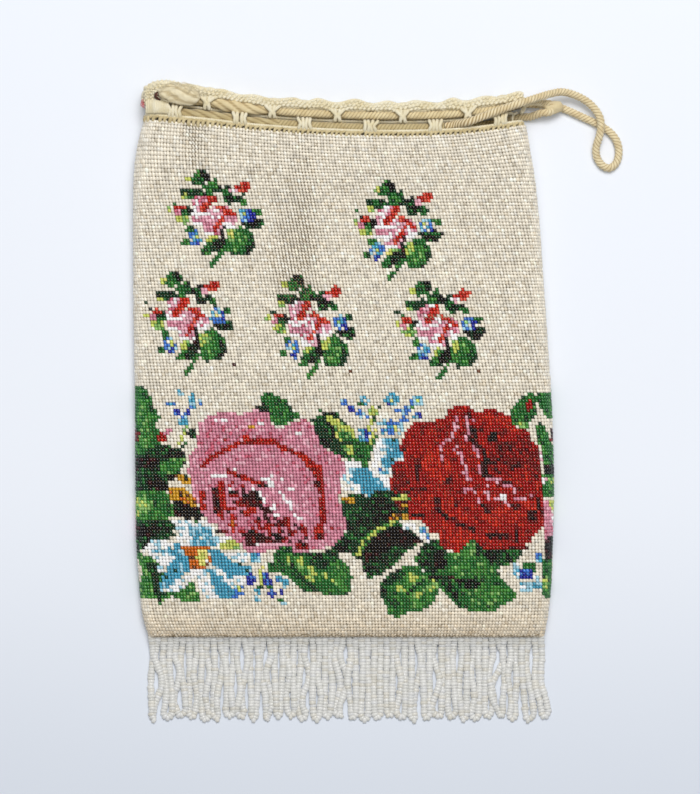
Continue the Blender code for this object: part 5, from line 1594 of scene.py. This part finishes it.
def edging_rise(level, share, a):
    """The rise of the edging at a share of its height: scalloped at the top, arched at the foot."""
    return level + SCALLOP_HEIGHT * share * scallop_at(a) + (1 - share) ** 2 * 1.3 * post_dip(a)


print("the ring that the strands follow:", round(whole, 1), "mm")

# %% The base row and the chains
BASE_PITCH = 1.9
# The base row's yarn is thinner along the front, but for its left end
THIN_YARN, THICK_YARN = (1.3, 1.6), (1.7, 2.0)
THIN_FROM = 22
base_row = Threads()
base_count = round(whole / BASE_PITCH)
for k in range(base_count):
    a = whole * k / base_count + yarn_random.normal(0, 0.14)
    foot = yarn_random.normal(0, 0.14)
    thick = YARN * yarn_random.uniform(*(THIN_YARN if THIN_FROM < a < straight / MM else THICK_YARN))
    strand(base_row, [
        (a - 0.15, 1.3, foot - 1.1), (a - 0.05, 0.35, foot - 0.35), (a + 0.1, 0.4, 0.6), (a + 0.3, 1.2, 1.3)],
        thick)
    strand(base_row, [(a + 0.4, 1.0, 0.7), (a + 0.95, 0.3, 1.15 + foot), (a + 1.5, 1.0, 1.5)], YARN * 1.5)
finish_piece(base_row.make("base_stitches"), base_yarn_painted_shade, "casing_yarn", "crochet_casing")
wavy_chain(2.0, 0.8, BASE_PITCH, 0.25, YARN * 1.15)
wavy_chain(6.3, 4.5, 2.2, 0.2, YARN)

# %% The posts
# Each post is four strands side by side, in millimetres from its middle
STRAND_PLACES = (-1.5, -0.5, 0.5, 1.5)
POST_YARN = YARN * 1.8
back_posts = [2 * straight + end_turn - a for a in reversed(front_posts)]
post_places = [*front_posts, straight + end_turn / 2, *back_posts, 2 * straight + 1.5 * end_turn]
for number, place in enumerate(post_places):
    a = place / MM
    lower_shows = number % 2 == 0
    for side in STRAND_PLACES:
        foot, waist, head = yarn_random.normal(0, 0.16, 3) + side * np.array([1.45, 1.2, 1.6])
        low, high = (1.9, 6.4) if lower_shows else (6.4, 11.1)
        is_outer = abs(side) > 1
        if not lower_shows:
            # The outer strands cross on their way down from the edging
            foot, waist = (-0.55 * side, 0.5 * side) if is_outer else (1.6 * side, 1.2 * side)
        raised = 0.12 if is_outer else 0.0
        strand(casing, [
            (a + foot, 1.1, low - 0.5), (a + foot, 0.15 - raised, low + 0.5),
            (a + waist, -0.3 - raised, (low + high) / 2), (a + head, 0.1 - raised, high - 0.7),
            (a + head * 1.05, 1.7, high)], POST_YARN)
        # Behind the cord's other turn the strand runs along the wall's inside
        low, high = (6.3, 11.2) if lower_shows else (1.8, 6.3)
        strand(casing, [
            (a + side, 2.6, low), (a + side, 4.3, low + 0.9), (a + side, 4.4, (low + high) / 2),
            (a + side, 4.3, high - 0.9), (a + side, 2.4, high)], YARN, 1.2 * MM)
print("posts:", len(post_places))

# %% [markdown]
# The edging is rows of small bumps over a thick core, which rise and dip in scallops.

# %% The scalloped edging
BUMP_PITCH = 1.7
# Rise in millimetres, then share of the edging's height
BUMP_ROWS = [(10.9, 0.15), (11.95, 0.5), (12.95, 0.85)]
# Rise and share again, then the core's radius in millimetres
CORES = [(12.5, 0.7, 1.0), (11.3, 0.2, 0.85)]
CORE_DEPTH = 1.35 * MM
CORE_STEPS = 150
edge_count = round(whole / BUMP_PITCH)
for k in range(edge_count):
    for row, (level, share) in enumerate(BUMP_ROWS):
        a = whole * (k + 0.5 * (row % 2)) / edge_count + yarn_random.normal(0, 0.12)
        rise = edging_rise(level, share, a) + yarn_random.normal(0, 0.12)
        strand(casing, [(a - 0.42, 0.85, rise - 0.35), (a, 0.25, rise), (a + 0.42, 0.85, rise + 0.3)],
               YARN * yarn_random.uniform(1.3, 1.6))
wavy_chain(13.2, 1.0, BUMP_PITCH, 0.3, YARN * 1.2, SCALLOP_HEIGHT)
wavy_chain(13.0, 2.3, 2.3, 0.34, YARN * 1.15, SCALLOP_HEIGHT)
for level, share, radius in CORES:
    alongs = [whole * k / CORE_STEPS for k in range(CORE_STEPS + 1)]
    core = [casing_place(a * MM, CORE_DEPTH, edging_rise(level, share, a) * MM) for a in alongs]
    casing.add(core, radius * MM, YARN_SIDES)
print("bumps on the edging:", edge_count * len(BUMP_ROWS))

# %% [markdown]
# The left end's edging curls into a thick roll round a dark hole, over a dense patch of stitches. These
# follow the photo's own pixels: a place is a pixel column, a pixel row and a height in millimetres.

# %% The casing's left end
ROLL = [
    (148.6, 104, 10.5), (147.8, 97, 11.4), (148.6, 91, 12.6), (153, 86, 14.0), (162, 84, 14.9),
    (173, 84.6, 14.8), (181, 87, 14.0),
]
INNER_ROLL = [
    (152.5, 104, 11.6), (152.2, 98, 12.6), (153.6, 92.6, 13.8), (159, 89.4, 15.0), (168, 88.6, 14.6),
]
ROLL_RADIUS, INNER_RADIUS = 1.45 * MM, 0.8 * MM
# The rows of knobs, in degrees from the top towards the side
ROLL_ROWS, INNER_ROWS = (-75, -35, 5, 45, 80), (-40, 20)
ROLL_STEP = 0.4 * MM
KNOB_PITCH = 1.5 * MM
KNOB_HALF = 0.45 * MM
PATCH_STRANDS = 13
PATCH_LEFT, PATCH_PITCH = 146.5, 1.75
PATCH_LEVEL, PATCH_CLIMB = 12.0, 2.3
HOLE_SHADE_RADII = (0.5, 0.42, 0.36)


def knobbed_roll(path, radius, rows):
    """A thick thread with rows of small bumps over the side that faces up."""
    taper = np.clip(np.sin(np.linspace(0.35, 2.8, len(path))) * 1.6, 0.5, 1)
    casing.add(path, radius * taper, 12)
    count = round(path_length(path) / KNOB_PITCH)
    for row, degrees in enumerate(rows):
        for k in range(count):
            i = min(len(path) - 2, max(1, round((k + 0.5 * (row % 2)) / count * (len(path) - 1))))
            ahead = path[i + 1] - path[i - 1]
            ahead /= np.linalg.norm(ahead)
            side = np.cross(ahead, (0, 0, 1.0))
            side /= np.linalg.norm(side)
            turn = math.radians(degrees) + yarn_random.normal(0, 0.1)
            knob = path[i] + (side * math.sin(turn) + np.cross(side, ahead) * math.cos(turn)) * radius
            back = (path[i] - knob) * 0.3
            bump = [knob - ahead * KNOB_HALF + back, knob, knob + ahead * KNOB_HALF + back]
            casing.add(bump, yarn_random.uniform(0.4, 0.52) * MM, YARN_SIDES)


knobbed_roll(smooth_path(seen_route(ROLL), ROLL_STEP), ROLL_RADIUS, ROLL_ROWS)
knobbed_roll(smooth_path(seen_route(INNER_ROLL), ROLL_STEP), INNER_RADIUS, INNER_ROWS)
for k in range(PATCH_STRANDS):
    column = PATCH_LEFT + PATCH_PITCH * k + yarn_random.normal(0, 0.15)
    level = PATCH_LEVEL + PATCH_CLIMB * min(1.0, k / 5)
    route = seen_route([
        (column + 0.6, 98.5 + 0.4 * math.sin(k), level - 1.2), (column + 0.2, 102, level),
        (column, 108, level + 0.35), (column - 0.2, 113.5, level - 0.6)])
    casing.add(smooth_path(route, 0.8 * MM), 0.5 * MM, YARN_SIDES)
finish_piece(casing.make("casing_stitches"), casing_yarn, "casing_yarn", "crochet_casing")
# Painted shade: a few dark brown fibres lie over the hole in the roll, to darken it
hole = Threads()
for k, radius in enumerate(HOLE_SHADE_RADII):
    route = seen_route([
        (158 + 0.7 * k, 92.2, 14.5), (155.8 + 1.2 * k, 94.6, 14.9), (155.8 + 1.2 * k, 97.4, 14.9),
        (160 + 0.4 * k, 99.4, 14.5)])
    hole.add(smooth_path(route, 0.5 * MM), radius * MM, YARN_SIDES)
finish_piece(hole.make("painted_hole_shade"), hole_shade_fibre, "casing_yarn")

# %% [markdown]
# A few ends of red thread are caught in the casing's left end.

# %% The red thread ends
TUFT_COUNT = 9
TUFT_COLUMN, TUFT_ROW, TUFT_ROW_PITCH = 142.6, 99.5, 0.7
tuft = Threads()
for k in range(TUFT_COUNT):
    column, row = TUFT_COLUMN + yarn_random.normal(0, 0.9), TUFT_ROW + TUFT_ROW_PITCH * k
    bend = yarn_random.normal(0, 1.5, 3)
    route = seen_route([
        (column + 2.2, row, 10.2), (column - 0.6 + 0.3 * bend[0], row + 0.5 * bend[1], 10.9),
        (column - 0.8 + 0.4 * bend[1], row + 2.6, 10.4), (column + 1.6, row + 3 + bend[2], 9.6)])
    tuft.add(smooth_path(route, 0.4 * MM), 0.13 * MM, 4)
finish_piece(tuft.make("red_thread_ends"), red_thread, "casing_yarn")

# %% [markdown]
# ## Table and light
#
# The photo has an almost white table, a little blue, and soft light with faint shadows. A pale plane, a
# wide soft lamp and an even sky give that. The lamp's reflection is the bright spot on each bead.

# %% Table and light
TABLE_SIZE = 6
# The table's colour near the bottom of the picture and further up, and where it changes: painted shade that
# darkens the table towards the bottom, where the lamps' light falls off
NEAR_TONE, FAR_TONE = (0.72, 0.765, 0.845, 1), (0.87, 0.905, 0.975, 1)
NEAR_Y, FAR_Y = -0.19, -0.02
SKY_COLOUR = (0.94, 0.97, 1.0, 1)
SKY_STRENGTH, SKY_IN_REFLECTIONS = 0.32, 0.08
LAMP_COLOUR = (1.0, 0.99, 0.975)
# Name, place and diameter in metres, and power in watts
LAMPS = [("wide_lamp", (0.08, 0.45, 1.5), 1.5, 10.6), ("small_lamp", (0.12, 0.60, 1.3), 0.6, 8.3)]

table_material, table_nodes, table_links, table_shader = new_material("table")
table_place = table_nodes.new("ShaderNodeTexCoord")
table_split = table_nodes.new("ShaderNodeSeparateXYZ")
table_links.new(table_place.outputs["Object"], table_split.inputs["Vector"])
# Painted shade: the table's colour darkens towards the bottom
table_shade_fade = table_nodes.new("ShaderNodeMapRange")
table_shade_fade.interpolation_type = "SMOOTHSTEP"
set_inputs(table_shade_fade, {"From Min": NEAR_Y, "From Max": FAR_Y})
table_links.new(table_split.outputs["Y"], table_shade_fade.inputs["Value"])
table_painted_shade = table_nodes.new("ShaderNodeMix")
table_painted_shade.data_type = "RGBA"
set_inputs(table_painted_shade, {"A": NEAR_TONE, "B": FAR_TONE})
table_links.new(table_shade_fade.outputs["Result"], table_painted_shade.inputs["Factor"])
table_links.new(table_painted_shade.outputs["Result"], table_shader.inputs["Base Color"])
set_inputs(table_shader, {"Roughness": 1.0, "Specular IOR Level": 0.0})
bpy.ops.object.select_all(action="DESELECT")
bpy.ops.mesh.primitive_plane_add(size=TABLE_SIZE)
table = bpy.context.object
table.name = "table"
table.data.materials.append(table_material)

world = bpy.data.worlds.new("soft_sky")
bpy.context.scene.world = world
world.use_nodes = True
sky_nodes, sky_links = world.node_tree.nodes, world.node_tree.links
sky = sky_nodes["Background"]
set_inputs(sky, {"Color": SKY_COLOUR})
ray_kind = sky_nodes.new("ShaderNodeLightPath")
sky_light = sky_nodes.new("ShaderNodeMapRange")
set_inputs(sky_light, {"To Min": SKY_STRENGTH, "To Max": SKY_IN_REFLECTIONS})
sky_links.new(ray_kind.outputs["Is Glossy Ray"], sky_light.inputs["Value"])
sky_links.new(sky_light.outputs["Result"], sky.inputs["Strength"])


def soft_lamp(name, place, size, power):
    """A round lamp that points at the middle of the frame."""
    data = bpy.data.lights.new(name, "AREA")
    data.shape = "DISK"
    data.size = size
    data.energy = power
    data.color = LAMP_COLOUR
    lamp = bpy.data.objects.new(name, data)
    lamp.location = place
    aim = -np.array(place) / np.linalg.norm(place)
    lamp.rotation_euler = (math.acos(-aim[2]), 0, math.atan2(-aim[0], aim[1]))
    bpy.context.scene.collection.objects.link(lamp)
    return lamp


lamps = [soft_lamp(*lamp) for lamp in LAMPS]
bpy.context.scene.view_settings.view_transform = "Standard"
print("lamps:", [lamp.name for lamp in lamps])
